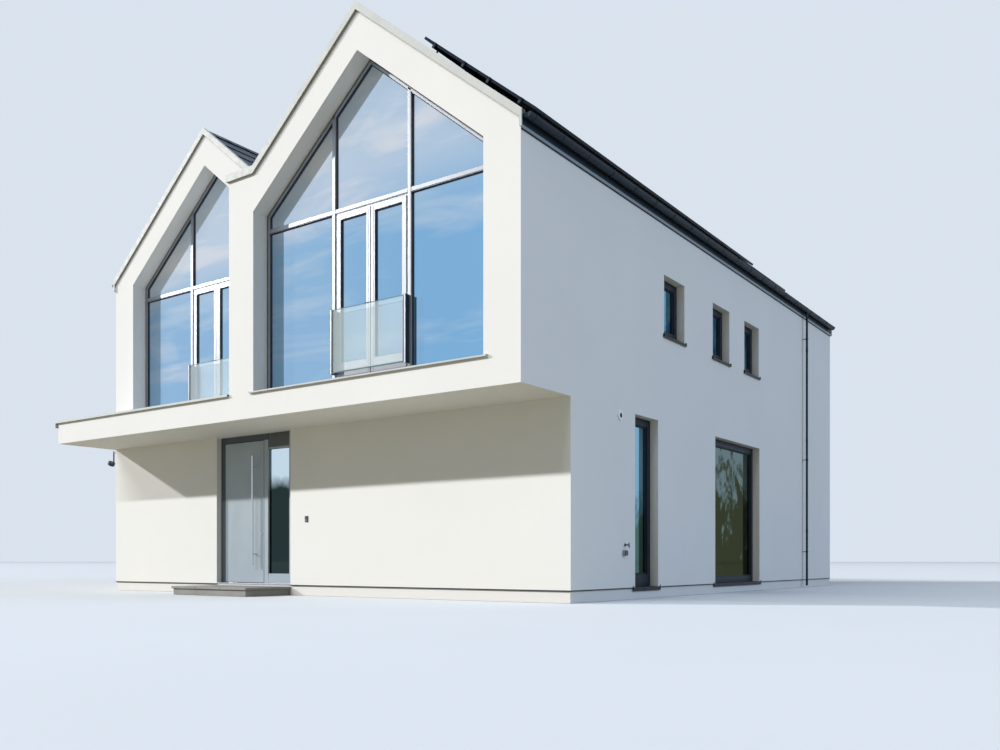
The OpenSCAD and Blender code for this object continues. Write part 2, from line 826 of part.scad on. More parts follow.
// Puts a window made for the plane y = 0 into the right, left or rear wall
module in_wall(side, along) {
  if (side == "right") translate([right_x, entry_y + along, 0]) rotate([0, 0, 90]) children();
  if (side == "left") translate([left_x, entry_y + along, 0]) rotate([0, 0, -90]) children();
  if (side == "rear") translate([along, rear_y, 0]) rotate([0, 0, 180]) children();
}

module window_frames() {
  low_z = plinth_h;
  color("#343a42") {
    for (side = ["right", "left"]) {
      for (y = upper_win_y)
        in_wall(side, y)
          window_bars(upper_win_w, upper_sill_z, upper_sill_z + upper_win_h, upper_rail_h, 1);
      in_wall(side, slim_win_y) window_bars(slim_win_w, low_z, soffit_z, slim_rail_h, 1);
      in_wall(side, wide_win_y) window_bars(wide_win_w, low_z, soffit_z, wide_rail_h, 1);
    }
    for (axis = [left_axis, right_axis]) {
      in_wall("rear", axis)
        window_bars(rear_win_w, upper_sill_z, upper_sill_z + upper_win_h, upper_rail_h, 2);
      in_wall("rear", axis) window_bars(rear_win_w, low_z, soffit_z, slim_rail_h, 2);
    }
  }
}

module window_glass() {
  low_z = plinth_h;
  color("#9fc3dc", 0.5) {
    for (side = ["right", "left"]) {
      for (y = upper_win_y)
        in_wall(side, y) window_pane(upper_win_w, upper_sill_z, upper_sill_z + upper_win_h);
      in_wall(side, slim_win_y) window_pane(slim_win_w, low_z, soffit_z);
      in_wall(side, wide_win_y) window_pane(wide_win_w, low_z, soffit_z);
    }
    for (axis = [left_axis, right_axis]) {
      in_wall("rear", axis) window_pane(rear_win_w, upper_sill_z, upper_sill_z + upper_win_h);
      in_wall("rear", axis) window_pane(rear_win_w, low_z, soffit_z);
    }
    box([light_x0, screen_y + bar_d, sidelight_low],
        [light_x1, screen_y + bar_d + glass_t, sidelight_high]);
  }
}

module window_sills() {
  color("#343a42") {
    for (side = ["right", "left"]) {
      for (y = upper_win_y) in_wall(side, y) upper_sill(upper_win_w);
      in_wall(side, slim_win_y) low_sill(slim_win_w);
      in_wall(side, wide_win_y) low_sill(wide_win_w);
    }
    for (axis = [left_axis, right_axis]) {
      in_wall("rear", axis) upper_sill(rear_win_w);
      in_wall("rear", axis) low_sill(rear_win_w);
    }
  }
}

// Entrance screen, with the fixed knuckles and pins of the hinges
module door_frame() {
  face_y = screen_y + leaf_t;
  color("#59626c") {
    along_y(screen_y, face_y) difference() {
      translate([door_x0, leaf_z0]) square([door_open_w, soffit_z - leaf_z0]);
      translate([leaf_x0, leaf_z0 - eps]) square([leaf_x1 - leaf_x0, leaf_z1 - leaf_z0 + eps]);
      translate([light_x0, sidelight_low])
        square([sidelight_w, sidelight_high - sidelight_low]);
    }
    for (z = hinge_z) {
      translate([hinge_x, hinge_y, z]) cylinder(h = knuckle_h, r = barrel_r);
      translate([hinge_x, hinge_y, z]) cylinder(h = knuckle_h + barrel_h, r = pin_r);
      box([hinge_x - hinge_plate_w, face_y, z],
          [hinge_x, hinge_y - barrel_r + hinge_plate_t, z + knuckle_h]);
    }
  }
}

module door_threshold() {
  color("#b9bcbe")
    box([door_x0, entry_y, plinth_h], [door_x1, screen_y + leaf_t, leaf_z0]);
}

module door_leaf() {
  face_y = screen_y + leaf_t;
  color("#59626c") {
    box([leaf_x0 + hinge_gap, screen_y, leaf_z0 + leaf_gap],
        [leaf_x1 - leaf_gap, face_y, leaf_z1 - leaf_gap]);
    for (z = hinge_z)
      difference() {
        union() {
          translate([hinge_x, hinge_y, z + knuckle_h + pin_play])
            cylinder(h = barrel_h, r = barrel_r);
          box([hinge_x + hinge_gap, face_y - eps, z + knuckle_h + pin_play],
              [hinge_x + hinge_plate_w, hinge_y - barrel_r + hinge_plate_t,
               z + knuckle_h + pin_play + barrel_h]);
        }
        translate([hinge_x, hinge_y, z]) cylinder(h = knuckle_h + 2 * barrel_h, r = pin_r + pin_play);
      }
  }
}

module door_pull() {
  x = leaf_x1 - leaf_gap - pull_inset;
  y = screen_y - pull_out;
  color("#c9ccce") {
    translate([x, y, pull_low]) cylinder(h = pull_high - pull_low, d = pull_d);
    for (z = [pull_low + 200, pull_high - 200])
      translate([x, screen_y, z]) rotate([90, 0, 0]) cylinder(h = pull_out, d = pull_d * 0.6);
  }
}

// Rainwater goods
module gutter_2d() {
  difference() {
    circle(r = gutter_r);
    circle(r = gutter_r - gutter_t);
    translate([-2 * gutter_r, 0]) square([4 * gutter_r, 2 * gutter_r]);
  }
}

// Gutter with its closed ends, along the right-hand eave
module eave_gutter(y0, y1) {
  along_y(y0, y1) translate([gutter_x, gutter_z]) gutter_2d();
  for (y = [y0, y1 - gutter_t])
    along_y(y, y + gutter_t) translate([gutter_x, gutter_z]) difference() {
      circle(r = gutter_r);
      translate([-2 * gutter_r, 0]) square([4 * gutter_r, 2 * gutter_r]);
    }
}

module eave_gutters() {
  color("#3f454c") {
    eave_gutter(bay_y, rear_y);
    mirror([1, 0, 0]) eave_gutter(entry_y, rear_y);
  }
}

// Bracket that carries the gutter, its back against the fascia
module gutter_bracket(y) {
  r = gutter_r + strap_gap;
  along_y(y - strap_w / 2, y + strap_w / 2) translate([gutter_x, gutter_z]) difference() {
    circle(r = r + strap_t);
    circle(r = r);
    translate([-2 * r, 0]) square([4 * r, 2 * r]);
  }
}

// Evenly spaced brackets between two places along the gutter
module bracket_run(y0, y1) {
  bays = ceil((y1 - y0) / bracket_pitch);
  for (i = [0 : bays]) gutter_bracket(y0 + i * (y1 - y0) / bays);
}

// Clip that holds the downpipe to the wall
module pipe_clip(z) {
  r = pipe_d / 2 + strap_gap;
  difference() {
    union() {
      translate([gutter_x, entry_y + pipe_y, z]) cylinder(h = strap_w, r = r + strap_t);
      box([right_x, entry_y + pipe_y - strap_w / 2, z],
          [gutter_x - r, entry_y + pipe_y + strap_w / 2, z + strap_w]);
    }
    translate([gutter_x, entry_y + pipe_y, z - eps]) cylinder(h = strap_w + 2 * eps, r = r);
  }
}

module side_brackets(y0) {
  outlet = entry_y + pipe_y;
  bracket_run(y0 + bracket_end, outlet - bracket_end);
  bracket_run(outlet + bracket_end, rear_y - bracket_end);
  for (z = [plinth_h + strap_w * 20, soffit_z, gutter_z - gutter_r - strap_w * 20]) pipe_clip(z);
}

module rain_brackets() {
  color("#3f454c") {
    side_brackets(bay_y);
    mirror([1, 0, 0]) side_brackets(entry_y);
  }
}

module eave_fascias() {
  z1 = eave_z - slab_top - slope * fascia_t;
  z0 = z1 - fascia_h;
  color("#8a8884") {
    box([right_x, bay_y, z0], [right_x + fascia_t, rear_y, z1]);
    box([left_x - fascia_t, entry_y, z0], [left_x, rear_y, z1]);
  }
}

module downpipe() {
  z = gutter_z - gutter_r;
  translate([gutter_x, entry_y + pipe_y, pipe_foot_z])
    cylinder(h = z - pipe_foot_z + gutter_t / 2, d = pipe_d);
}

module downpipes() {
  color("#3f454c") {
    downpipe();
    mirror([1, 0, 0]) downpipe();
  }
}

// Solar array on the right-hand outer slope
module on_right_slope() {
  translate([right_x, bay_y, eave_z - cover_top]) rotate([0, slope_deg, 0]) children();
}

module solar_panels() {
  color("#10161f") on_right_slope() for (row = [0, 1], i = [0 : row_count[row] - 1])
    box([-panel_low - (row + 1) * panel_w - row * panel_gap,
         panel_front + i * (panel_l + panel_gap), panel_lift],
        [-panel_low - row * (panel_w + panel_gap),
         panel_front + i * (panel_l + panel_gap) + panel_l, panel_lift + panel_t]);
}

module solar_rails() {
  rail_at = [0.22, 0.78];
  color("#6a7077") on_right_slope() for (up = rail_at, row = [0, 1]) {
    x = -panel_low - row * (panel_w + panel_gap) - up * panel_w;
    run = row_count[row] * (panel_l + panel_gap) - panel_gap;
    bays = ceil((run - 2 * hook_end) / hook_pitch);
    rail_y1 = row == 1 ? house_l + overhang - rail_rear : panel_front + run + rail_past;
    box([x - rail_w / 2, panel_front - rail_past, panel_lift - rail_w],
        [x + rail_w / 2, rail_y1, panel_lift]);
    for (i = [0 : bays]) {
      y = panel_front + hook_end + i * (run - 2 * hook_end) / bays;
      box([x - hook_w / 2, y - hook_w / 2, lay_gap],
          [x + hook_w / 2, y + hook_w / 2, panel_lift - rail_w]);
    }
  }
}

module wall_vent() {
  rim = 22;
  plate = 8;
  color("#eef0f0") translate([right_x, entry_y + vent_y, soffit_z - vent_drop])
    rotate([0, 90, 0]) difference() {
      cylinder(h = vent_t, r = vent_r);
      translate([0, 0, plate]) cylinder(h = vent_t, r = vent_r - rim);
    }
}

module wall_socket() {
  hw = socket_w / 2;
  lid = 10;
  color("#e9eaea") translate([right_x, entry_y + socket_y, socket_z]) {
    box([0, -hw, -hw], [socket_t - lid, hw, hw]);
    box([socket_t - lid - eps, -hw + 5, -hw], [socket_t, hw - 5, hw - 8]);
  }
}

module garden_tap() {
  rose_r = 26;
  body_r = 11;
  color("#b99a4e")
    translate([right_x, entry_y + socket_y + socket_w / 2 - body_r, socket_z + tap_rise]) {
      rotate([0, 90, 0]) cylinder(h = 6, r = rose_r);
      rotate([0, 90, 0]) cylinder(h = tap_l, r = body_r);
      translate([tap_l - body_r, 0, -42]) cylinder(h = 66, r = body_r * 0.8);
      translate([tap_l - body_r - 24, -4, 22]) cube([48, 8, 6]);
    }
}

module doorbell() {
  plate = 14;
  button_r = 13;
  x = door_x1 + bell_from_door;
  color("#3b3f44") {
    box([x - bell_w / 2, entry_y - plate, bell_z - bell_h / 2],
        [x + bell_w / 2, entry_y, bell_z + bell_h / 2]);
    translate([x, entry_y, bell_z - bell_h / 5]) rotate([90, 0, 0])
      cylinder(h = plate + 6, r = button_r);
  }
}

module side_lamp() {
  plate_t = 20;
  plate_w = 80;
  plate_h = 90;
  stem_r = 13;
  lean = 34;
  head_out = 85;
  head_up = 34;
  top = soffit_z - lamp_drop;
  color("#23272c") translate([left_x, entry_y + lamp_y, top]) {
    box([-plate_t, -plate_w / 2, -plate_h], [0, plate_w / 2, 0]);
    translate([0, 0, -plate_h / 3]) rotate([0, -90, 0]) cylinder(h = lamp_reach, r = stem_r);
    translate([-lamp_reach, 0, -lamp_stem]) cylinder(h = lamp_stem, r = stem_r);
    translate([-lamp_reach - head_out, 0, -lamp_stem + head_up]) rotate([0, lean, 0])
      translate([0, 0, -lamp_l / 2]) cylinder(h = lamp_l, r = lamp_r);
  }
}

base_slab();
landing();
front_wall_left();
front_wall_right();
right_wall_ground();
left_wall_ground();
rear_wall_ground();
first_floor();
right_gable_frame();
left_gable_wall();
bay_cheek();
right_wall_upper();
left_wall_upper();
rear_gable_wall();
roof_slabs();
roof_covering();
ridge_caps();
valley_lining();
right_verge();
left_verge();
rear_verge();
canopy_flashing();
gable_glass();
gable_bars();
gable_sills();
balustrade_glass();
balustrade_fittings();
window_glass();
window_frames();
window_sills();
door_frame();
door_threshold();
door_leaf();
door_pull();
eave_gutters();
rain_brackets();
eave_fascias();
downpipes();
solar_panels();
solar_rails();
wall_vent();
wall_socket();
garden_tap();
doorbell();
side_lamp();
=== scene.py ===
import math

import bpy
from bpy.props import FloatProperty, FloatVectorProperty, IntProperty, PointerProperty
from mathutils import Matrix, Vector


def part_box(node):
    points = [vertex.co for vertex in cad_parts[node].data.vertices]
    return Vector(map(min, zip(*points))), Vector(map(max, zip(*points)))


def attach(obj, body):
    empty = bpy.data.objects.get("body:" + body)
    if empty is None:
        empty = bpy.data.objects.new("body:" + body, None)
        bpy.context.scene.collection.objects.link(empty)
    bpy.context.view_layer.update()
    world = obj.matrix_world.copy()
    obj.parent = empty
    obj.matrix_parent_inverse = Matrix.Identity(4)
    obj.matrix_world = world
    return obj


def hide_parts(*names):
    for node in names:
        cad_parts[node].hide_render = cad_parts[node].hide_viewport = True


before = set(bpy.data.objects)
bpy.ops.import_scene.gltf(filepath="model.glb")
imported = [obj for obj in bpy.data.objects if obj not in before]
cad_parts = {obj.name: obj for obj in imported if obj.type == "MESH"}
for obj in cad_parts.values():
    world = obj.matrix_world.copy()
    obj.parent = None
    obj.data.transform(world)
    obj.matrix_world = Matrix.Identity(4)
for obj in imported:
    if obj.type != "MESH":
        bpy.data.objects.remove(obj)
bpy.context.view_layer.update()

bl_info = {
    "name": "Twin gable house",
    "version": (1, 0, 0),
    "blender": (4, 5, 0),
    "location": "3D View > Sidebar > House",
    "description": "Dresses a two-storey house with tiles, glazing, flashings and fittings",
    "category": "Object",
}

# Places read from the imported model, in metres
LEFT, BAY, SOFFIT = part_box("first_floor")[0]
RIGHT, REAR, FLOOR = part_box("first_floor")[1]
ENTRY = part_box("front_wall_left")[0].y
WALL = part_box("front_wall_left")[1].y - ENTRY
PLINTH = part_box("base_slab")[1].z
DOOR_X = (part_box("front_wall_left")[1].x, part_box("front_wall_right")[0].x)
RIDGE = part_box("right_verge")[1].z
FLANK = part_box("bay_cheek")[0].x
AXIS = (RIGHT + FLANK) / 2
VERGE_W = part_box("roof_covering")[0].y - BAY

# The slope of the roofs, rise over run, and the heights that follow from it
SLOPE = 0.8142857
TILT = math.atan(SLOPE)
COS, SIN = math.cos(TILT), math.sin(TILT)
EAVE = RIDGE - SLOPE * (RIGHT - AXIS)
SHOULDER = RIDGE - SLOPE * (AXIS + FLANK)

# Where the tiles begin behind a verge, how far the deck lies straight under the verge line,
# the length in which rainwater goods and fascias are joined, and a length that counts as nothing
SEAM, DECK_DROP, STOCK, TINY = VERGE_W + 0.002, 0.060, 3.0, 1e-5


def length(name, default, description):
    """A size in metres that the sidebar shows."""
    return FloatProperty(
        name=name, default=default, description=description, min=0.0, unit="LENGTH", subtype="DISTANCE"
    )


def colour(name, default, description):
    """A colour that the sidebar shows."""
    return FloatVectorProperty(
        name=name, default=default, description=description, size=3, min=0.0, max=1.0, subtype="COLOR"
    )


class HouseSizes(bpy.types.PropertyGroup):
    """Sizes of the details that dress the house"""

    tile_w: length("Tile width", 0.30, "Cover width of a roof tile")
    tile_gauge: length("Tile gauge", 0.415, "Distance between two courses of tiles, up the slope")
    tile_lap: length("Tile headlap", 0.075, "How far a tile runs under the course above it")
    tile_t: length("Tile thickness", 0.014, "Thickness of a roof tile")
    ridge_pitch: length("Ridge tile length", 0.40, "Distance between two ridge tiles")
    flashing_t: length("Flashing thickness", 0.002, "Thickness of the folded metal sheets")
    flashing_joint: length(
        "Flashing joint spacing", 2.0, "Distance between the cover strips on the flashings"
    )
    rim_w: length("Glazing rim width", 0.06, "Width of the outer frame of the gable glazing")
    mullion_w: length("Mullion width", 0.07, "Width of the mullions and transoms")
    bead_w: length("Glazing bead width", 0.014, "Width of the glazing beads")
    gasket_w: length("Gasket width", 0.007, "Width of the black gaskets beside the glass")
    sash_w: length("Sash width", 0.075, "Width of the sash profiles of the side windows")
    bracket_w: length("Bracket width", 0.03, "Width of the gutter brackets")
    cell_columns: IntProperty(
        name="Cell columns", default=12, min=4, max=24, description="Cells along a solar panel"
    )
    cell_rows: IntProperty(
        name="Cell rows", default=6, min=2, max=12, description="Cells across a solar panel"
    )


class HouseColours(bpy.types.PropertyGroup):
    """Colours of the finishes"""

    render: colour("Render", (0.81, 0.81, 0.80), "Fine white render")
    plinth: colour("Plinth", (0.78, 0.775, 0.76), "Plinth render")
    stone: colour("Landing stone", (0.27, 0.27, 0.26), "Stone slabs of the landing")
    tile: colour("Roof tile", (0.014, 0.024, 0.040), "Dark roof tiles")
    white_metal: colour("Flashing", (0.53, 0.55, 0.54), "Light coated flashings")
    grey_metal: colour("Gutter metal", (0.014, 0.023, 0.036), "Dark coated rainwater goods and fascias")
    silver: colour("Silver frames", (0.33, 0.345, 0.37), "Satin metal of the gable frames")
    door: colour("Door", (0.34, 0.40, 0.45), "Satin grey-blue of the entrance")
    anthracite: colour("Anthracite frames", (0.009, 0.017, 0.028), "Dark coating of the side windows")
    rubber: colour("Gasket", (0.012, 0.013, 0.015), "Black gaskets and seals")
    # Painted reflection: the blue of the gable glass stands in for reflected sky, its pale colour for
    # reflected clouds
    painted_sky_glass: colour("Gable glass", (0.25, 0.51, 0.77), "Blue reflecting glass of the gables")
    painted_cloud_glass: colour("Gable glass, pale", (0.82, 0.83, 0.86), "Pale drifts in the glass of the gables")
    # Painted reflection: the dark green of the lower side glass stands in for reflected lawn and trees
    glass_with_painted_reflection: colour("Side glass", (0.11, 0.20, 0.17), "Dark parts of the lower side glass")
    rail_glass: colour("Balustrade glass", (0.80, 0.94, 1.0), "Clear glass of the balustrades")
    steel: colour("Stainless steel", (0.60, 0.61, 0.62), "Brushed stainless steel")
    cell: colour("Solar cell", (0.006, 0.011, 0.026), "Solar cells under their glass")
    white_plastic: colour("White plastic", (0.92, 0.93, 0.94), "Vent and socket")
    # Painted shade: the tap's colour is darkened to the shade it stands in
    brass: colour("Brass", (0.075, 0.072, 0.065), "Darkened brass of the garden tap")


def sizes():
    return bpy.context.scene.house_sizes


def colours():
    return bpy.context.scene.house_colours


# Hand tools


BEVEL_ANGLE, SMOOTH_ANGLE = math.radians(30), math.radians(35)


def deselect():
    """Leaves edit mode and selects nothing."""
    if bpy.context.object and bpy.context.object.mode != "OBJECT":
        bpy.ops.object.mode_set(mode="OBJECT")
    bpy.ops.object.select_all(action="DESELECT")


def take(*pieces):
    """Selects the pieces, the first one active."""
    deselect()
    for piece in pieces:
        piece.select_set(True)
    bpy.context.view_layer.objects.active = pieces[0]
    return pieces[0]


def named(name):
    """Names the newly added piece and puts its place into its mesh."""
    piece = bpy.context.active_object
    bpy.ops.object.transform_apply(location=True, rotation=True, scale=True)
    piece.name = piece.data.name = name
    return piece


def block(name, low, high):
    """A box between two corners."""
    deselect()
    bpy.ops.mesh.primitive_cube_add(size=1, location=[(a + b) / 2 for a, b in zip(low, high)])
    bpy.context.active_object.scale = [b - a for a, b in zip(low, high)]
    return named(name)


def drum(name, centre, radius, depth, axis="Z", sides=32, top=None):
    """A cylinder, or a cone that ends in the radius top, with its axis along X, Y or Z."""
    deselect()
    turn = {"X": (0, math.pi / 2, 0), "Y": (-math.pi / 2, 0, 0), "Z": (0, 0, 0)}[axis]
    end = radius if top is None else top
    bpy.ops.mesh.primitive_cone_add(
        vertices=sides, radius1=radius, radius2=end, depth=depth, location=centre, rotation=turn
    )
    return named(name)


def edit(piece, kind="FACE"):
    """Opens edit mode on the piece with nothing selected."""
    take(piece)
    bpy.ops.object.mode_set(mode="EDIT")
    bpy.ops.mesh.select_mode(type=kind)
    bpy.ops.mesh.select_all(action="DESELECT")


def done():
    bpy.ops.object.mode_set(mode="OBJECT")


def pick_faces(piece, test):
    """Opens edit mode with the faces selected whose centre and normal pass the test."""
    edit(piece)
    done()
    for face in piece.data.polygons:
        face.select = bool(test(face.center, face.normal))
    bpy.ops.object.mode_set(mode="EDIT")


def pick_edges(piece, test):
    """Opens edit mode with the edges selected whose two ends pass the test."""
    edit(piece, "EDGE")
    done()
    points = piece.data.vertices
    for edge in piece.data.edges:
        edge.select = bool(test(points[edge.vertices[0]].co, points[edge.vertices[1]].co))
    bpy.ops.object.mode_set(mode="EDIT")


def facing(x=0, y=0, z=0):
    """A test for the faces that look along a direction."""
    way = Vector((x, y, z))
    return lambda centre, normal: normal.dot(way) > 0.5


def shift(piece, test, step):
    """Moves the faces that pass the test."""
    pick_faces(piece, test)
    bpy.ops.transform.translate(value=step)
    done()


def inset(piece, test, border, step=None, extrude=False):
    """Insets the faces that pass the test, then moves or extrudes what is inside the border."""
    pick_faces(piece, test)
    bpy.ops.mesh.inset(thickness=border)
    if extrude:
        bpy.ops.mesh.extrude_region_move(TRANSFORM_OT_translate={"value": step})
    elif step:
        bpy.ops.transform.translate(value=step)
    done()


def bevel(piece, test, width, segments):
    """Bevels the edges whose two ends pass the test."""
    pick_edges(piece, test)
    bpy.ops.mesh.bevel(offset=width, segments=segments)
    done()


def finish_with(piece, kind, **settings):
    """Adds a modifier to the piece and applies it."""
    take(piece)
    modifier = piece.modifiers.new(kind.title(), kind)
    for key, value in settings.items():
        setattr(modifier, key, value)
    bpy.ops.object.modifier_apply(modifier=modifier.name)
    return piece


def smooth(piece):
    """Shades smoothly across all but the sharp edges."""
    take(piece)
    bpy.ops.object.shade_smooth_by_angle(angle=SMOOTH_ANGLE)
    return piece


def soften(piece, width=0.003, segments=2):
    """Rounds the sharp edges and smooths what is nearly flat."""
    limit = {"limit_method": "ANGLE", "angle_limit": BEVEL_ANGLE}
    finish_with(piece, "BEVEL", width=width, segments=segments, **limit)
    return smooth(piece)


def bar(name, low, high, width=0.003, segments=2):
    """A box between two corners with rounded edges."""
    return soften(block(name, low, high), width, segments)


def rod(name, centre, radius, depth, axis="Z", sides=32, width=0.003, segments=2):
    """A cylinder with rounded rims."""
    return soften(drum(name, centre, radius, depth, axis, sides), width, segments)


def repeat(piece, count, step):
    """Repeats the piece at a constant step."""
    offset = {"use_relative_offset": False, "use_constant_offset": True, "constant_offset_displace": step}
    return finish_with(piece, "ARRAY", count=count, **offset)


def trim(piece, point, normal):
    """Cuts off what lies beyond a plane, on the side that its normal points to, and closes the cut."""
    take(piece)
    bpy.ops.object.mode_set(mode="EDIT")
    bpy.ops.mesh.select_all(action="SELECT")
    bpy.ops.mesh.bisect(plane_co=point, plane_no=normal, use_fill=True, clear_outer=True, threshold=0.00001)
    done()
    return piece


def outwards(piece):
    """Merges doubled points and turns all faces outwards."""
    take(piece)
    bpy.ops.object.mode_set(mode="EDIT")
    bpy.ops.mesh.select_all(action="SELECT")
    bpy.ops.mesh.remove_doubles(threshold=0.00005)
    bpy.ops.mesh.normals_make_consistent(inside=False)
    done()
    return piece


def placed(piece, matrix):
    """Moves the piece's mesh, and keeps its faces outwards where the move mirrors it."""
    piece.data.transform(matrix)
    if matrix.determinant() < 0:
        piece.data.flip_normals()
    return piece


def copy_of(piece, matrix, name=None):
    """A copy with its own mesh."""
    other = piece.copy()
    other.data = piece.data.copy()
    bpy.context.scene.collection.objects.link(other)
    other.name = other.data.name = name or piece.name
    return placed(other, matrix)


def join(name, pieces):
    """Joins pieces into one."""
    take(*pieces)
    if len(pieces) > 1:
        bpy.ops.object.join()
    piece = bpy.context.view_layer.objects.active
    piece.name = piece.data.name = name
    return piece


def discard(piece):
    bpy.data.objects.remove(piece)


def folded(name, path, run, thick, along="Y"):
    """A sheet folded along the corners of its path.

    The path is in X and Z where the sheet runs along Y, and in Y and Z where it runs along X.
    """
    deselect()
    bpy.ops.mesh.primitive_plane_add(size=1)
    sheet = named(name)

    def corner(point, end):
        return Vector((point[0], end, point[1])) if along == "Y" else Vector((end, point[0], point[1]))

    for spot in sheet.data.vertices:
        spot.co = corner(path[int(spot.co.x > 0)], run[int(spot.co.y > 0)])
    last = [corner(path[1], run[0]), corner(path[1], run[1])]
    pick_edges(sheet, lambda a, b: all(min((p - q).length for q in last) < 1e-6 for p in (a, b)))
    for i in range(2, len(path)):
        step = corner(path[i], 0) - corner(path[i - 1], 0)
        bpy.ops.mesh.extrude_region_move(TRANSFORM_OT_translate={"value": step})
    done()
    return finish_with(sheet, "SOLIDIFY", thickness=thick, offset=0, use_even_offset=True)


def outline(name, corners, y):
    """A flat face in X and Z with the given corners, facing -Y."""
    deselect()
    bpy.ops.mesh.primitive_circle_add(vertices=len(corners), fill_type="NGON", radius=1)
    face = named(name)
    for spot, (x, z) in zip(face.data.vertices, corners):
        spot.co = (x, y, z)
    face.data.update()
    if face.data.polygons[0].normal.y > 0:
        face.data.flip_normals()
    return face


def slab_of(name, corners, y0, y1):
    """The outline as a solid from y0 to y1."""
    face = outline(name, corners, y0)
    return finish_with(face, "SOLIDIFY", thickness=y1 - y0, offset=-1)


def ring_of(name, corners, y0, y1, width):
    """A frame of even width inside the outline, from y0 to y1."""
    face = outline(name, corners, y0)
    edit(face)
    bpy.ops.mesh.select_all(action="SELECT")
    bpy.ops.mesh.inset(thickness=width, depth=0)
    bpy.ops.mesh.delete(type="FACE")
    done()
    return finish_with(face, "SOLIDIFY", thickness=y1 - y0, offset=-1)


def rectangle(x0, x1, z0, z1, border=0.0):
    """The four corners of an opening, every side moved inwards by the border."""
    x0, x1, z0, z1 = x0 + border, x1 - border, z0 + border, z1 - border
    return [(x0, z0), (x1, z0), (x1, z1), (x0, z1)]


def clipped(corners, nx, nz, reach):
    """The part of a convex outline where nx * x + nz * z is at most reach."""
    kept = []
    for (ax, az), (bx, bz) in zip(corners, corners[1:] + corners[:1]):
        a, b = nx * ax + nz * az - reach, nx * bx + nz * bz - reach
        if a <= 1e-9:
            kept.append((ax, az))
        if a * b < -1e-12:
            t = a / (a - b)
            kept.append((ax + t * (bx - ax), az + t * (bz - az)))
    return kept


def verge(x):
    """Height of the verge line over x."""
    return RIDGE - SLOPE * abs(abs(x) - AXIS)


def slope_matrix(side, inner):
    """Lays a piece on a slope: its X runs up from the eave or the valley, its Z stands square on it."""
    foot = Vector((side * (0 if inner else RIGHT), 0, verge(0) if inner else EAVE))
    up = Vector((side * (1 if inner else -1) * COS, 0, SIN))
    over = Vector((side * (-1 if inner else 1) * SIN, 0, COS))
    return Matrix((
        (up.x, 0, over.x, foot.x),
        (0, 1, 0, 0),
        (up.z, 0, over.z, foot.z),
        (0, 0, 0, 1),
    ))


def ride(piece, *nodes, slot, body="house", dress=None):
    """Weights a piece's normals, gives it its finish and body, and hides its nodes; its slot is not used."""
    finish_with(piece, "WEIGHTED_NORMAL", keep_sharp=True)
    if dress is not None:
        paint(piece, dress)
    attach(piece, body)
    if nodes:
        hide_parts(*nodes)
    return piece


# Finishes


class Finish:
    """Builds one procedural material around a principled shader."""

    def __init__(self, **fixed):
        self.material = bpy.data.materials.new("finish")
        self.material.use_nodes = True
        self.nodes = self.material.node_tree.nodes
        self.links = self.material.node_tree.links
        self.shader = next(n for n in self.nodes if n.type == "BSDF_PRINCIPLED")
        for key, value in fixed.items():
            self.shader.inputs[key.replace("_", " ")].default_value = value
        self.place = self.nodes.new("ShaderNodeTexCoord")
        self.height = None

    def node(self, kind, **settings):
        node = self.nodes.new(kind)
        for key, value in settings.items():
            setattr(node, key, value)
        return node

    def link(self, start, end):
        self.links.new(start, end)
        return self

    def scaled(self, scale):
        """The piece's own coordinates, stretched."""
        mapping = self.node("ShaderNodeMapping")
        mapping.inputs["Scale"].default_value = scale
        self.link(self.place.outputs["Object"], mapping.inputs["Vector"])
        return mapping.outputs["Vector"]

    def noise(self, scale, detail=3.0, rough=0.5, stretch=(1, 1, 1), distort=0.0):
        node = self.node("ShaderNodeTexNoise")
        node.inputs["Scale"].default_value = scale
        node.inputs["Detail"].default_value = detail
        node.inputs["Roughness"].default_value = rough
        node.inputs["Distortion"].default_value = distort
        self.link(self.scaled(stretch), node.inputs["Vector"])
        return node.outputs["Fac"]

    def ramp(self, source, low, high, start=0.3, end=0.7):
        """Turns a value into a colour between two colours."""
        node = self.node("ShaderNodeValToRGB")
        node.color_ramp.elements[0].position = start
        node.color_ramp.elements[1].position = end
        node.color_ramp.elements[0].color = (*low, 1)
        node.color_ramp.elements[1].color = (*high, 1)
        self.link(source, node.inputs["Fac"])
        return node.outputs["Color"]

    def span(self, source, low, high, start=0.3, end=0.7):
        """Turns a value into a number between low and high."""
        node = self.node("ShaderNodeMapRange")
        for key, value in zip(("From Min", "From Max", "To Min", "To Max"), (start, end, low, high)):
            node.inputs[key].default_value = value
        self.link(source, node.inputs["Value"])
        return node.outputs["Result"]

    def math(self, operation, a, b=None):
        node = self.node("ShaderNodeMath", operation=operation)
        for socket, value in zip(node.inputs, (a, b)):
            if isinstance(value, bpy.types.NodeSocket):
                self.link(value, socket)
            elif value is not None:
                socket.default_value = value
        return node.outputs["Value"]

    def mix(self, amount, a, b):
        node = self.node("ShaderNodeMix", data_type="RGBA")
        for socket, value in ((node.inputs[0], amount), (node.inputs[6], a), (node.inputs[7], b)):
            if isinstance(value, bpy.types.NodeSocket):
                self.link(value, socket)
            else:
                socket.default_value = (*value, 1)
        return node.outputs[2]

    def colour(self, source):
        return self.link(source, self.shader.inputs["Base Color"])

    def rough(self, source):
        return self.link(source, self.shader.inputs["Roughness"])

    def bump(self, source, depth, strength=1.0):
        """Raises the surface by a value, depth metres at most."""
        node = self.node("ShaderNodeBump")
        node.inputs["Strength"].default_value = strength
        node.inputs["Distance"].default_value = depth
        self.link(source, node.inputs["Height"])
        if self.height is not None:
            self.link(self.height, node.inputs["Normal"])
        self.height = node.outputs["Normal"]
        return self.link(self.height, self.shader.inputs["Normal"])

    def xyz(self, source=None):
        node = self.node("ShaderNodeSeparateXYZ")
        self.link(source or self.place.outputs["Object"], node.inputs["Vector"])
        return node.outputs


def tone(shade, amount):
    """A colour made lighter or darker."""
    return tuple(min(1.0, max(0.0, c * amount)) for c in shade)


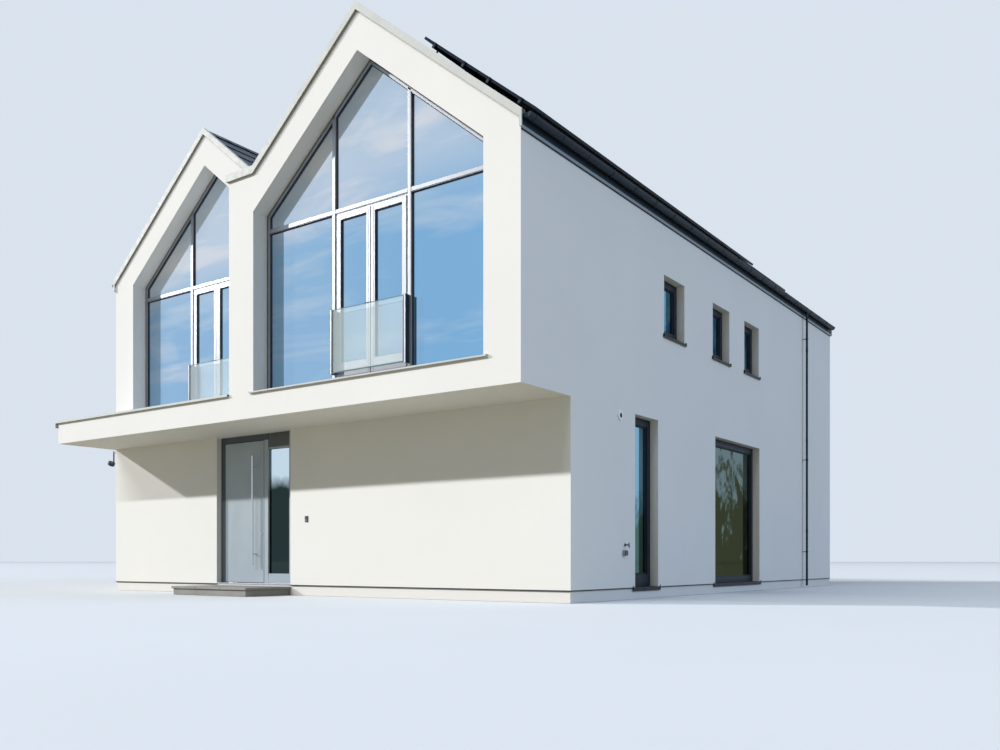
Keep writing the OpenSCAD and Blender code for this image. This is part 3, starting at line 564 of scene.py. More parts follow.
def plaster(shade, grain=1.0):
    """Fine floated render: soft clouds in the colour and a sandy grain."""
    f = Finish(Roughness=0.9)
    clouds = f.noise(0.55, 4, 0.6)
    streaks = f.noise(1.6, 3, 0.5, stretch=(1, 1, 0.16))
    base = f.ramp(clouds, tone(shade, 0.965), tone(shade, 1.01))
    worn = f.mix(f.span(streaks, 0.0, 0.35, 0.55, 0.8), base, tone(shade, 0.95))
    sand = f.noise(420, 2, 0.6)
    f.colour(f.mix(f.span(sand, 0.0, 0.25, 0.35, 0.7), worn, tone(shade, 0.93)))
    f.rough(f.span(clouds, 0.84, 0.95))
    f.bump(f.noise(9, 3, 0.5), 0.0012 * grain, 0.5)
    f.bump(sand, 0.0009 * grain, 0.6)
    return f.material


def stone(shade):
    """Sawn stone with fine speckles."""
    f = Finish(Roughness=0.7)
    broad = f.noise(3.0, 4, 0.6)
    speck = f.noise(140, 3, 0.7)
    base = f.ramp(broad, tone(shade, 0.85), tone(shade, 1.1))
    f.colour(f.mix(f.span(speck, 0.0, 0.6, 0.5, 0.7), base, tone(shade, 0.55)))
    f.rough(f.span(speck, 0.55, 0.8))
    f.bump(speck, 0.0008, 0.6)
    return f.material


def coated(shade, rough=0.38, metallic=0.0, gloss=0.5):
    """Powder-coated sheet or profile: a faint orange peel and soft marks."""
    f = Finish(Roughness=rough, Metallic=metallic, Specular_IOR_Level=gloss)
    marks = f.noise(2.2, 4, 0.6, stretch=(1, 1, 0.5))
    f.colour(f.ramp(marks, tone(shade, 0.93), tone(shade, 1.05)))
    f.rough(f.span(f.noise(14, 3, 0.6), rough - 0.05, rough + 0.09))
    f.bump(f.noise(650, 1, 0.4), 0.00006, 0.35)
    f.bump(f.noise(1.7, 2, 0.5), 0.0012, 0.12)
    return f.material


def brushed(shade, stretch=(60, 60, 1.5), rough=0.3):
    """Brushed metal with fine lines along its length."""
    f = Finish(Metallic=1.0, Roughness=rough, Anisotropic=0.4)
    lines = f.noise(30, 3, 0.6, stretch=stretch)
    f.colour(f.ramp(lines, tone(shade, 0.88), tone(shade, 1.08)))
    f.rough(f.span(lines, rough - 0.08, rough + 0.12))
    f.bump(lines, 0.00008, 0.5)
    return f.material


def moulded(shade, rough=0.45):
    """Moulded plastic or rubber with a faint grain."""
    f = Finish(Roughness=rough)
    f.colour(f.ramp(f.noise(6, 3, 0.5), tone(shade, 0.92), tone(shade, 1.05)))
    f.rough(f.span(f.noise(35, 2, 0.5), rough - 0.06, rough + 0.08))
    f.bump(f.noise(900, 1, 0.5), 0.00005, 0.4)
    return f.material


def tile_clay(shade):
    """Dark tile with a slightly different tone on each tile and a fine sandy skin."""
    f = Finish(Roughness=0.5, Specular_IOR_Level=0.25)
    out = f.xyz(f.place.outputs["UV"])
    spot = f.node("ShaderNodeCombineXYZ")
    f.link(f.math("FLOOR", out[0]), spot.inputs[0]).link(f.math("FLOOR", out[1]), spot.inputs[1])
    chance = f.node("ShaderNodeTexWhiteNoise", noise_dimensions="2D")
    f.link(spot.outputs[0], chance.inputs["Vector"])
    base = f.ramp(chance.outputs["Value"], tone(shade, 0.8), tone(shade, 1.3), 0.0, 1.0)
    dust = f.noise(5, 4, 0.65)
    f.colour(f.mix(f.span(dust, 0.0, 0.4, 0.45, 0.8), base, tone(shade, 1.9)))
    f.rough(f.span(dust, 0.38, 0.6))
    f.bump(f.noise(260, 2, 0.6), 0.0005, 0.5)
    f.bump(f.noise(18, 2, 0.5), 0.0015, 0.25)
    return f.material


def mirror_glass(shade, pale, metallic=0.9, rough=0.03, painted_cloud=0.35, lift=0.0):
    """Glass with a painted sky reflection: a sky-blue tint, painted cloud drifts, paler high up and to the
    left.
    """
    f = Finish(Metallic=metallic, Roughness=rough, Coat_Weight=0.6, Coat_Roughness=0.02)
    # Painted reflection: pale cloud drifts, a paler sky high up and a paler sky towards the left
    painted_cloud_drift = f.noise(0.8, 4, 0.55, stretch=(0.42, 0.42, 2.1), distort=0.5)
    high = f.span(f.xyz()[2], 0.0, lift, 5.35, 6.25)
    side = f.span(f.xyz()[0], 0.30, 0.0, 1.4, 3.6)
    soft = f.math("ADD", f.span(painted_cloud_drift, 0.0, painted_cloud, 0.5, 0.72), high)
    soft = f.math("ADD", soft, f.math("MULTIPLY", side, painted_cloud))
    f.colour(f.mix(f.math("MINIMUM", soft, 1.0), shade, pale))
    f.rough(f.span(f.noise(0.8, 2, 0.5), rough, rough + 0.03))
    f.bump(f.noise(0.9, 1, 0.4), 0.004, 0.05)
    return f.material


def glass_with_painted_reflection(low, high, middle, spread, painted_tree_mottle):
    """Glass with a painted reflection: dark ground and trees low down, painted sky above a height, painted
    tree blotches.
    """
    f = Finish(Metallic=1.0, Roughness=0.03, Specular_Tint=(0.40, 0.46, 0.48, 1.0))
    # Painted reflection: blotches of reflected trees, and the rise from the ground reflection to the sky
    # reflection
    painted_tree_blotches = f.noise(2.4, 6, 0.65, stretch=(1, 1, 0.75), distort=0.4)
    rise = f.span(f.xyz()[2], 0.0, 1.0, middle - spread, middle + spread)
    rise = f.math("ADD", rise, f.span(painted_tree_blotches, -painted_tree_mottle, painted_tree_mottle, 0.3, 0.7))
    f.colour(f.ramp(rise, low, high, 0.36, 0.68))
    f.rough(f.span(painted_tree_blotches, 0.02, 0.05))
    f.bump(f.noise(1.0, 1, 0.4), 0.004, 0.05)
    return f.material


def clear_glass(shade, alpha):
    """Clear safety glass with a pale sheen, through which the bars behind show."""
    f = Finish(Roughness=0.05, Alpha=alpha)
    f.colour(f.ramp(f.noise(1.1, 3, 0.5, stretch=(0.5, 0.5, 1.6)), tone(shade, 0.93), tone(shade, 1.05)))
    f.rough(f.span(f.noise(7, 2, 0.5), 0.02, 0.06))
    f.bump(f.noise(2.0, 1, 0.4), 0.002, 0.05)
    return f.material


def solar_glass(shade):
    """Dark cells with thin bars and pale gaps, read from the panel's own map."""
    s = sizes()
    f = Finish(Roughness=0.16, Specular_IOR_Level=0.35, Coat_Weight=0.4, Coat_Roughness=0.05)
    out = f.xyz(f.place.outputs["UV"])

    def lines(source, count, width):
        part = f.math("FRACT", f.math("MULTIPLY", source, count))
        return f.math("GREATER_THAN", f.math("ABSOLUTE", f.math("SUBTRACT", part, 0.5)), 0.5 - width)

    gaps = f.math("MAXIMUM", lines(out[0], s.cell_columns, 0.016), lines(out[1], s.cell_rows, 0.013))
    bars = lines(out[1], s.cell_rows * 5, 0.03)
    cells = f.ramp(f.noise(2.5, 3, 0.6), tone(shade, 0.8), tone(shade, 1.5))
    barred = f.mix(f.math("MULTIPLY", bars, 0.5), cells, (0.08, 0.09, 0.11))
    f.colour(f.mix(gaps, barred, (0.030, 0.036, 0.045)))
    f.rough(f.span(f.noise(12, 3, 0.5), 0.09, 0.17))
    return f.material


MAKERS = {
    "house_render": lambda c: plaster(c.render),
    "plinth_render": lambda c: plaster(c.plinth, 1.6),
    "landing_stone": lambda c: stone(c.stone),
    "roof_deck": lambda c: moulded((0.20, 0.19, 0.18), 0.8),
    "roof_tile": lambda c: tile_clay(c.tile),
    "white_flashing": lambda c: coated(c.white_metal, 0.56),
    "gutter_metal": lambda c: coated(c.grey_metal, 0.5, gloss=0.25),
    "fascia_metal": lambda c: coated(c.grey_metal, 0.5, gloss=0.25),
    "drip_metal": lambda c: coated((0.24, 0.31, 0.36), 0.4),
    "silver_frame": lambda c: coated(c.silver, 0.42, 0.9),
    "door_satin": lambda c: coated(c.door, 0.42),
    # Painted shade: a darkened copy of the door satin for the jamb and head, which lie in shade
    "door_painted_shade": lambda c: coated(tone(c.door, 0.22), 0.42, gloss=0.3),
    "door_leaf_satin": lambda c: coated(c.door, 0.36),
    "anthracite_frame": lambda c: coated(c.anthracite, 0.45, gloss=0.25),
    "black_gasket": lambda c: moulded(c.rubber, 0.6),
    # The gable glass carries a painted sky reflection with painted clouds
    "gable_glass": lambda c: mirror_glass(c.painted_sky_glass, c.painted_cloud_glass, painted_cloud=0.5, lift=0.55),
    # The side glass and the sidelight carry painted reflections: dark ground and trees low down, bright sky
    # above
    "upper_side_glass": lambda c: glass_with_painted_reflection((0.10, 0.27, 0.46), (0.26, 0.52, 0.74), 4.5, 1.4, 0.4),
    "ground_side_glass": lambda c: glass_with_painted_reflection(c.glass_with_painted_reflection, (0.30, 0.56, 0.74), 1.2, 0.9, 0.35),
    "wide_side_glass": lambda c: glass_with_painted_reflection((0.085, 0.078, 0.036), (0.24, 0.30, 0.30), 2.0, 1.3, 0.6),
    "sidelight_glass": lambda c: glass_with_painted_reflection((0.03, 0.046, 0.045), (0.78, 0.90, 0.94), 1.9, 0.35, 0.12),
    "balustrade_glass": lambda c: clear_glass(c.rail_glass, 0.26),
    "glass_edge": lambda c: moulded((0.12, 0.19, 0.20), 0.2),
    "stainless": lambda c: brushed(c.steel),
    "stainless_flat": lambda c: brushed(c.steel, (1.5, 60, 60), 0.34),
    "solar_cells": lambda c: solar_glass(c.cell),
    "black_anodised": lambda c: coated((0.010, 0.017, 0.030), 0.4, gloss=0.3),
    "white_plastic": lambda c: moulded(c.white_plastic, 0.4),
    "pale_plastic": lambda c: moulded(tone(c.white_plastic, 0.3), 0.4),
    "grey_plastic": lambda c: moulded((0.07, 0.08, 0.09), 0.45),
    "black_plastic": lambda c: moulded((0.02, 0.021, 0.024), 0.4),
    # The tap's darkened colour is painted shade
    "brass": lambda c: coated(c.brass, 0.35, 0.6),
    # The lens takes the same painted reflection: painted cloud drifts and a paler tone
    "lens": lambda c: mirror_glass((0.30, 0.33, 0.35), (0.45, 0.47, 0.48), 0.6, 0.1),
    "screen_panel": lambda c: coated((0.075, 0.08, 0.078), 0.4),
}


def paint(piece, *finishes):
    """Gives the piece its materials, making each finish when it is first asked for."""
    piece.data.materials.clear()
    for finish in finishes:
        name = finish + "_finish"
        if name not in bpy.data.materials:
            MAKERS[finish](colours()).name = name
        piece.data.materials.append(bpy.data.materials[name])


def carry_over(finish, *nodes):
    """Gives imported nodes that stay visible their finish."""
    for node in nodes:
        paint(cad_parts[node], finish)


# Walls and ground


class HOUSE_OT_walls(bpy.types.Operator):
    """Finishes the rendered walls and adds the drip strip over the plinth"""

    bl_idname = "house.walls"
    bl_label = "Walls"
    bl_options = {"REGISTER", "UNDO"}

    def execute(self, context):
        carry_over(
            "house_render", "front_wall_left", "front_wall_right", "right_wall_ground", "left_wall_ground",
            "rear_wall_ground", "first_floor", "right_gable_frame", "left_gable_wall", "bay_cheek",
            "right_wall_upper", "left_wall_upper", "rear_gable_wall",
        )
        carry_over("plinth_render", "base_slab")
        carry_over("roof_deck", "roof_slabs")
        strips = []
        out, inward, past_window = 0.004, 0.014, 0.07
        z0, z1 = PLINTH - 0.010, PLINTH + 0.005

        def strip(low, high):
            piece = block("plinth_strip", (*low, z0), (*high, z1))
            bevel(piece, lambda a, b: min(a.z, b.z) > PLINTH, 0.0015, 1)
            strips.append(piece)

        for x0, x1 in ((LEFT - out, DOOR_X[0]), (DOOR_X[1], RIGHT + out)):
            strip((x0, ENTRY - out), (x1, ENTRY + inward))
        for side in (-1, 1):
            spots = [ENTRY - out]
            for along, wide in GROUND_WINDOWS:
                half = wide / 2 + past_window
                spots += [ENTRY + along - half, ENTRY + along + half]
            spots.append(REAR + out)
            a, b = sorted((side * (RIGHT - inward), side * (RIGHT + out)))
            for y0, y1 in zip(spots[::2], spots[1::2]):
                strip((a, y0), (b, y1))
        half = REAR_W / 2 + past_window
        spots = [LEFT - out, -AXIS - half, -AXIS + half, AXIS - half, AXIS + half, RIGHT + out]
        for x0, x1 in zip(spots[::2], spots[1::2]):
            strip((x0, REAR - inward), (x1, REAR + out))
        ride(join("plinth_strip", strips), slot="dark_metal", dress="anthracite_frame")
        return {"FINISHED"}


class HOUSE_OT_landing(bpy.types.Operator):
    """Models the two-tier landing in front of the entrance"""

    bl_idname = "house.landing"
    bl_label = "Landing"
    bl_options = {"REGISTER", "UNDO"}

    def execute(self, context):
        low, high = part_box("landing")
        nose, tread = 0.025, 0.04
        under = high.z - tread
        riser = bar("landing_riser", (low.x + nose, low.y + nose, 0), (high.x - nose, high.y, under), 0.004)
        slabs = []
        count, joint = 3, 0.006
        wide = (high.x - low.x + joint) / count
        for i in range(count):
            x0 = low.x + i * wide
            slab = block("landing_slab", (x0, low.y, under), (x0 + wide - joint, high.y, high.z))
            inset(slab, facing(z=-1), 0.012, (0, 0, 0.004))
            slabs.append(soften(slab, 0.004))
        start, end = (low.x + 0.02, low.y + 0.02, under), (high.x - 0.02, high.y, high.z - joint)
        steps = join("landing_steps", [riser, bar("landing_bed", start, end, 0.002), *slabs])
        ride(steps, "landing", slot="landing_stone", dress="landing_stone")
        return {"FINISHED"}


# Roof


class HOUSE_OT_roof_tiles(bpy.types.Operator):
    """Lays staggered courses of flat tiles on the four slopes"""

    bl_idname = "house.roof_tiles"
    bl_label = "Roof tiles"
    bl_options = {"REGISTER", "UNDO"}

    def execute(self, context):
        s = sizes()
        lining, past_eave, beside_valley, under_ridge = 0.022, 0.05, 0.11, 0.004
        rise = s.tile_t + 0.001
        pitch = math.atan2(rise, s.tile_gauge)
        tile = block("tile", (0, 0.0015, 0), (s.tile_gauge + s.tile_lap, s.tile_w - 0.0015, s.tile_t))
        bevel(tile, lambda a, b: min(a.z, b.z) > s.tile_t - TINY or max(a.x, b.x) < TINY, 0.0025, 1)
        rest = -DECK_DROP * COS + 0.003
        placed(tile, Matrix.Translation((0, 0, rest + rise)) @ Matrix.Rotation(pitch, 4, "Y"))
        for side, inner, y0 in ((1, False, BAY), (1, True, BAY), (-1, True, ENTRY), (-1, False, ENTRY)):
            behind = y0 + WALL + lining
            y0, y1 = y0 + SEAM, REAR - SEAM
            start = beside_valley / COS if inner else -past_eave / COS
            end = (AXIS if inner else RIGHT - AXIS) / COS - under_ridge
            name = f"tiles_{'right' if side > 0 else 'left'}_{'inner' if inner else 'outer'}"
            across = math.ceil((y1 - y0) / s.tile_w) + 1
            courses = math.ceil((end - start) / s.tile_gauge)
            rows = []
            for odd in (0, 1):
                first = Matrix.Translation((start + odd * s.tile_gauge, y0 - odd * s.tile_w / 2, 0))
                rows.append(repeat(copy_of(tile, first, name), across, (0, s.tile_w, 0)))
            field = repeat(join(name, rows), math.ceil(courses / 2), (2 * s.tile_gauge, 0, 0))
            self.number(field, s, start)
            trim(field, (0, y0, 0), (0, -1, 0))
            trim(field, (0, y1, 0), (0, 1, 0))
            trim(field, (end, 0, 0), (1, 0, 0))
            if inner:
                field = self.notched(field, behind, -FLANK / COS)
            placed(field, slope_matrix(side, inner))
            ride(field, slot="roof_tiles", dress="roof_tile")
            if name == "tiles_right_outer":
                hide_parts("roof_covering")
        discard(tile)
        return {"FINISHED"}

    @staticmethod
    def notched(field, y, x):
        """Leaves out the tiles in front of y and below x, where the level shoulder lies."""
        front = copy_of(field, Matrix.Identity(4))
        trim(field, (0, y, 0), (0, -1, 0))
        trim(front, (0, y, 0), (0, 1, 0))
        trim(front, (x, 0, 0), (-1, 0, 0))
        return join(field.name, [field, front])

    @staticmethod
    def number(field, s, start):
        """Gives every tile its own square of the map, so that each can take its own tone."""
        layer = field.data.uv_layers.new(name="tiles")
        for face in field.data.polygons:
            course = math.floor((face.center.x - start + 0.02) / s.tile_gauge)
            stagger = 0.5 * (course % 2)
            for corner in face.loop_indices:
                layer.data[corner].uv = (course + 0.5, 0.5 + math.floor(face.center.y / s.tile_w + stagger))


class HOUSE_OT_ridge_tiles(bpy.types.Operator):
    """Covers the two ridges with overlapping angular tiles"""

    bl_idname = "house.ridge_tiles"
    bl_label = "Ridge tiles"
    bl_options = {"REGISTER", "UNDO"}

    def execute(self, context):
        s = sizes()
        thick, under, half, crown = 0.008, 0.0195, 0.14, 0.035
        top = RIDGE - under + thick / 2
        path = [(dx, top - SLOPE * max(abs(dx), 0.6 * crown)) for dx in (-half, -crown, 0, crown, half)]
        cap = folded("ridge_tile", path, (0, s.ridge_pitch + 0.03), thick)
        shift(cap, lambda c, n: abs(n.y) > 0.5 and c.y > s.ridge_pitch, (0, 0, -0.004))
        soften(cap, 0.002)
        collar = folded("ridge_collar", [(x * 1.02, z + 0.0045) for x, z in path], (0, 0.05), 0.006)
        soften(collar, 0.002)
        tile = join("ridge_tile", [cap, collar])
        runs = []
        for axis, y0 in ((AXIS, BAY), (-AXIS, ENTRY)):
            y0, y1 = y0 + SEAM, REAR - SEAM
            run = copy_of(tile, Matrix.Translation((axis, y0, 0)))
            repeat(run, math.ceil((y1 - y0) / s.ridge_pitch), (0, s.ridge_pitch, 0))
            runs.append(trim(run, (0, y1, 0), (0, 1, 0)))
        discard(tile)
        ride(join("ridge_tiles", runs), "ridge_caps", slot="roof_tiles", dress="roof_tile")
        return {"FINISHED"}


class HOUSE_OT_valley(bpy.types.Operator):
    """Folds the lining of the valley, with a low upstand in its middle"""

    bl_idname = "house.valley"
    bl_label = "Valley lining"
    bl_options = {"REGISTER", "UNDO"}

    def execute(self, context):
        low = verge(0) - DECK_DROP + 0.004
        fold, reach, hem, upstand, thick = 0.012, 0.14, 0.15, 0.028, 0.002
        lengths, overlap = 6, 0.08
        right = [(reach, low + SLOPE * reach), (hem, low + SLOPE * hem + 0.006)]
        left = [(-x, z) for x, z in reversed(right)]
        mid = [(-fold, low + SLOPE * fold), (0, low + upstand), (fold, low + SLOPE * fold)]
        long = folded("valley_long", left + mid + right, (ENTRY + WALL, REAR - SEAM), thick)
        short = folded("valley_short", [(0.003, low), *mid[2:], *right], (BAY + WALL, ENTRY + WALL), thick)
        over = [(x, z + 0.0015) for x, z in left[1:] + mid + right[:1]]
        joints = []
        for i in range(1, lengths):
            y = ENTRY + WALL + i * (REAR - ENTRY - WALL) / lengths
            joints.append(folded("valley_lap", over, (y, y + overlap), thick))
        for piece in (long, short, *joints):
            soften(piece, 0.001, 1)
        sheet = join("valley_sheet", [long, short, *joints])
        ride(sheet, "valley_lining", slot="dark_metal", dress="gutter_metal")
        return {"FINISHED"}


# Width and thickness of the cover strips on the flashings
STRIP_W, STRIP_T = 0.045, 0.0015


def seams(run, spacing):
    """Evenly spaced joints inside a run."""
    lengths = max(1, round(run / spacing))
    return [i * run / lengths for i in range(1, lengths)]


class HOUSE_OT_verges(bpy.types.Operator):
    """Folds the light metal flashings over the gable walls, with cover strips and turned-down ends"""

    bl_idname = "house.verges"
    bl_label = "Verge flashings"
    bl_options = {"REGISTER", "UNDO"}

    def execute(self, context):
        s = sizes()
        face, out, leg_w, leg_h, cap, proud = 0.12, 0.04, 0.035, 0.25, 0.02, 0.0008
        drop = face * COS
        t = s.flashing_t

        def slope_run(side, inner, front, back, start, end):
            """A flashing up one slope, from x start to x end measured along the ground."""
            d = 1 if front < back else -1
            path = [
                (back, -0.05), (back, -t / 2 - 0.0005), (front + d * 0.002, -t / 2 - 0.0005),
                (front + d * 0.002, -drop), (front + d * 0.012, -drop - 0.003),
            ]
            reach = (start / COS - 0.2, end / COS + 0.2)
            run = folded("verge", path, reach, t, "X")
            soften(run, 0.0012, 1)
            parts = [run]
            for v in seams(end / COS - start / COS, s.flashing_joint):
                v += start / COS
                edge = front + d * proud
                over = [(back - d * 0.002, 0.0), (edge, 0.0), (edge, -drop - 0.001)]
                strip = folded("verge_strip", over, (v, v + STRIP_W), STRIP_T, "X")
                parts.append(placed(soften(strip, 0.0006, 1), Matrix.Translation((0, 0, -proud))))
            run = placed(join("verge", parts), slope_matrix(side, inner))
            foot = side * (start if inner else RIGHT - start)
            head = side * (end if inner else RIGHT - end)
            up = side * (1 if inner else -1)
            trim(run, (foot, 0, 0), (-up, 0, 0))
            return trim(run, (head, 0, 0), (up, 0, 0))

        def leg(side, front, back):
            """The end that turns down at the eave."""
            d = 1 if front < back else -1
            y0, y1 = sorted((front + d * 0.001, front + d * 0.021))
            corners = [
                (side * RIGHT, EAVE - leg_h), (side * (RIGHT + leg_w), EAVE - leg_h),
                (side * (RIGHT + leg_w), EAVE - SLOPE * leg_w - 0.001), (side * RIGHT, EAVE - 0.001),
            ]
            plate = slab_of("verge_leg", corners, y0, y1)
            outwards(plate)
            inset(plate, facing(y=-d), 0.004, (0, d * 0.0015, 0))
            return soften(plate, 0.0015)

        def gable(side, front, back, foot):
            """The flashings up both slopes of a gable, the inner one from foot, and the end at the eave."""
            return [
                slope_run(side, False, front, back, -leg_w, RIGHT - AXIS),
                slope_run(side, True, front, back, foot, AXIS),
                leg(side, front, back),
            ]

        def level(path, run, along):
            return soften(folded("verge_level", path, run, t, along), 0.0012, 1)

        front, back = BAY - out, BAY + VERGE_W - 0.001
        right = gable(1, front, back, -FLANK)
        h, lip = SHOULDER, t / 2 + 0.0005
        side_x, edge, deep = FLANK - leg_w, ENTRY - out - 0.005, BAY + WALL + cap
        hem = [(side_x + 0.002, h - face), (side_x + 0.012, h - face - 0.003)]
        lap = [(0.02, h - 0.012), (0.019, h - lip)]
        front_hem = [(front + 0.002, h - face), (front + 0.012, h - face - 0.003)]
        front_path = [(deep, h - t), (deep - 0.012, h - lip), (front + 0.002, h - lip), *front_hem]
        right += [
            level(front_path, (side_x, -FLANK), "X"),
            level([(side_x + 0.002, h - t - 0.001), *hem], (front + 0.003, deep), "Y"),
            level([*lap, (side_x + 0.002, h - lip), *hem], (deep, edge), "Y"),
            level([*lap, (FLANK, h - lip)], (edge, ENTRY + WALL + cap), "Y"),
        ]
        ride(join("right_verge_sheet", right), "right_verge", slot="light_metal", dress="white_flashing")

        front, back = ENTRY - out, ENTRY + VERGE_W - 0.001
        left = gable(-1, front, back, -FLANK)
        ride(join("left_verge_sheet", left), "left_verge", slot="light_metal", dress="white_flashing")

        front, back = REAR + out, REAR - VERGE_W + 0.001
        rear = gable(-1, front, back, 0.0) + gable(1, front, back, 0.0)
        ride(join("rear_verge_sheet", rear), "rear_verge", slot="light_metal", dress="white_flashing")
        return {"FINISHED"}


class HOUSE_OT_canopy(bpy.types.Operator):
    """Folds the flashing around the free edges of the canopy"""

    bl_idname = "house.canopy"
    bl_label = "Canopy flashing"
    bl_options = {"REGISTER", "UNDO"}

    def execute(self, context):
        s = sizes()
        low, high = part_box("canopy_flashing")
        t, top, front_h, side_h, wide, proud = s.flashing_t, high.z, 0.035, 0.12, 0.22, 0.0008

        def edge(outer, drop, run, along):
            """The flashing over one free edge: it lies on the slab and turns down at the outer line."""
            path = [
                (outer + wide, top - 0.018), (outer + wide - 0.002, top - t),
                (outer + 0.002, top - t / 2 - 0.0003), (outer + 0.002, top - drop),
                (outer + 0.012, top - drop),
            ]
            parts = [folded("canopy_edge", path, run, t, along)]
            for v in seams(run[1] - run[0], s.flashing_joint):
                v += run[0]
                near, far = outer + proud, outer + wide - 0.01
                over = [(far, top - proud), (near, top - proud), (near, top - drop)]
                parts.append(folded("canopy_strip", over, (v, v + STRIP_W), STRIP_T, along))
            return [soften(p, 0.001, 1) for p in parts]

        parts = edge(low.y, front_h, (low.x + 0.001, high.x), "X")
        parts += edge(low.x, side_h, (low.y + wide, high.y), "Y")
        x = low.x + 0.002
        corner = [(x, top - t - 0.001), (x, top - side_h), (low.x + 0.012, top - side_h)]
        parts.append(soften(folded("canopy_corner", corner, (low.y + 0.003, low.y + wide), t), 0.001, 1))
        ride(join("canopy_sheet", parts), "canopy_flashing", slot="light_metal", dress="white_flashing")
        return {"FINISHED"}


# Gable glazing


# The openings: height of their jambs, half width, depth of the bars, thickness of the glass
JAMB_TOP, OPEN_HW, BAR_D, GLASS_T = 6.01, 2.22, 0.04, 0.03

# How far the glazing stands back, the mullions from the axis, the transom's heights and half height
GLAZE_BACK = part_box("gable_bars")[0].y - BAY
MULLION_X, TRANSOM, TRANSOM_HW = 0.74, (5.72, 5.79), 0.035

# Beyond every outline
FAR = 99
GABLES = {
    "right": {"axis": AXIS, "face": BAY, "end": AXIS + OPEN_HW},
    "left": {"axis": -AXIS, "face": ENTRY, "end": FLANK - 0.08},
}


def posts_between(axis, bar_hw):
    """The spans left and right of the two mullions, and between them."""
    left, right = axis - MULLION_X, axis + MULLION_X
    return (-FAR, left - bar_hw), (left + bar_hw, right - bar_hw), (right + bar_hw, FAR)


def opening(gable, shrink=0.0):
    """The outline of a gable opening, every side moved inwards by shrink."""
    axis, end = gable["axis"], gable["end"]
    corners = rectangle(axis - OPEN_HW + shrink, end - shrink, FLOOR + shrink, RIDGE)
    peak = (axis, JAMB_TOP + SLOPE * OPEN_HW)
    for turn in (1, -1):
        corners = clipped(corners, turn * SIN, COS, turn * SIN * peak[0] + COS * peak[1] - shrink)
    return corners


def between(corners, x0=-FAR, x1=FAR, z0=-FAR, z1=FAR):
    """What is left of an outline between two heights and two sides."""
    for nx, nz, reach in ((-1, 0, -x0), (1, 0, x1), (0, -1, -z0), (0, 1, z1)):
        corners = clipped(corners, nx, nz, reach)
    return corners


def pane_of(name, corners, y):
    """A pane of glass behind the bars whose face is at y."""
    return soften(slab_of(name, corners, y + BAR_D, y + BAR_D + GLASS_T), 0.0015, 1)


def bays(gable, shrink, bar_hw):
    """The outlines of the fixed panes and of the pair of casements, clear of bars of this half width."""
    whole = opening(gable, shrink)
    low, high = TRANSOM[0] + TRANSOM_HW - bar_hw, TRANSOM[1] - TRANSOM_HW + bar_hw
    spans = posts_between(gable["axis"], bar_hw)
    upper = [between(whole, x0, x1, z0=high) for x0, x1 in spans]
    lower = [between(whole, x0, x1, z1=low) for x0, x1 in spans]
    return upper + [lower[0], lower[2]], lower[1]


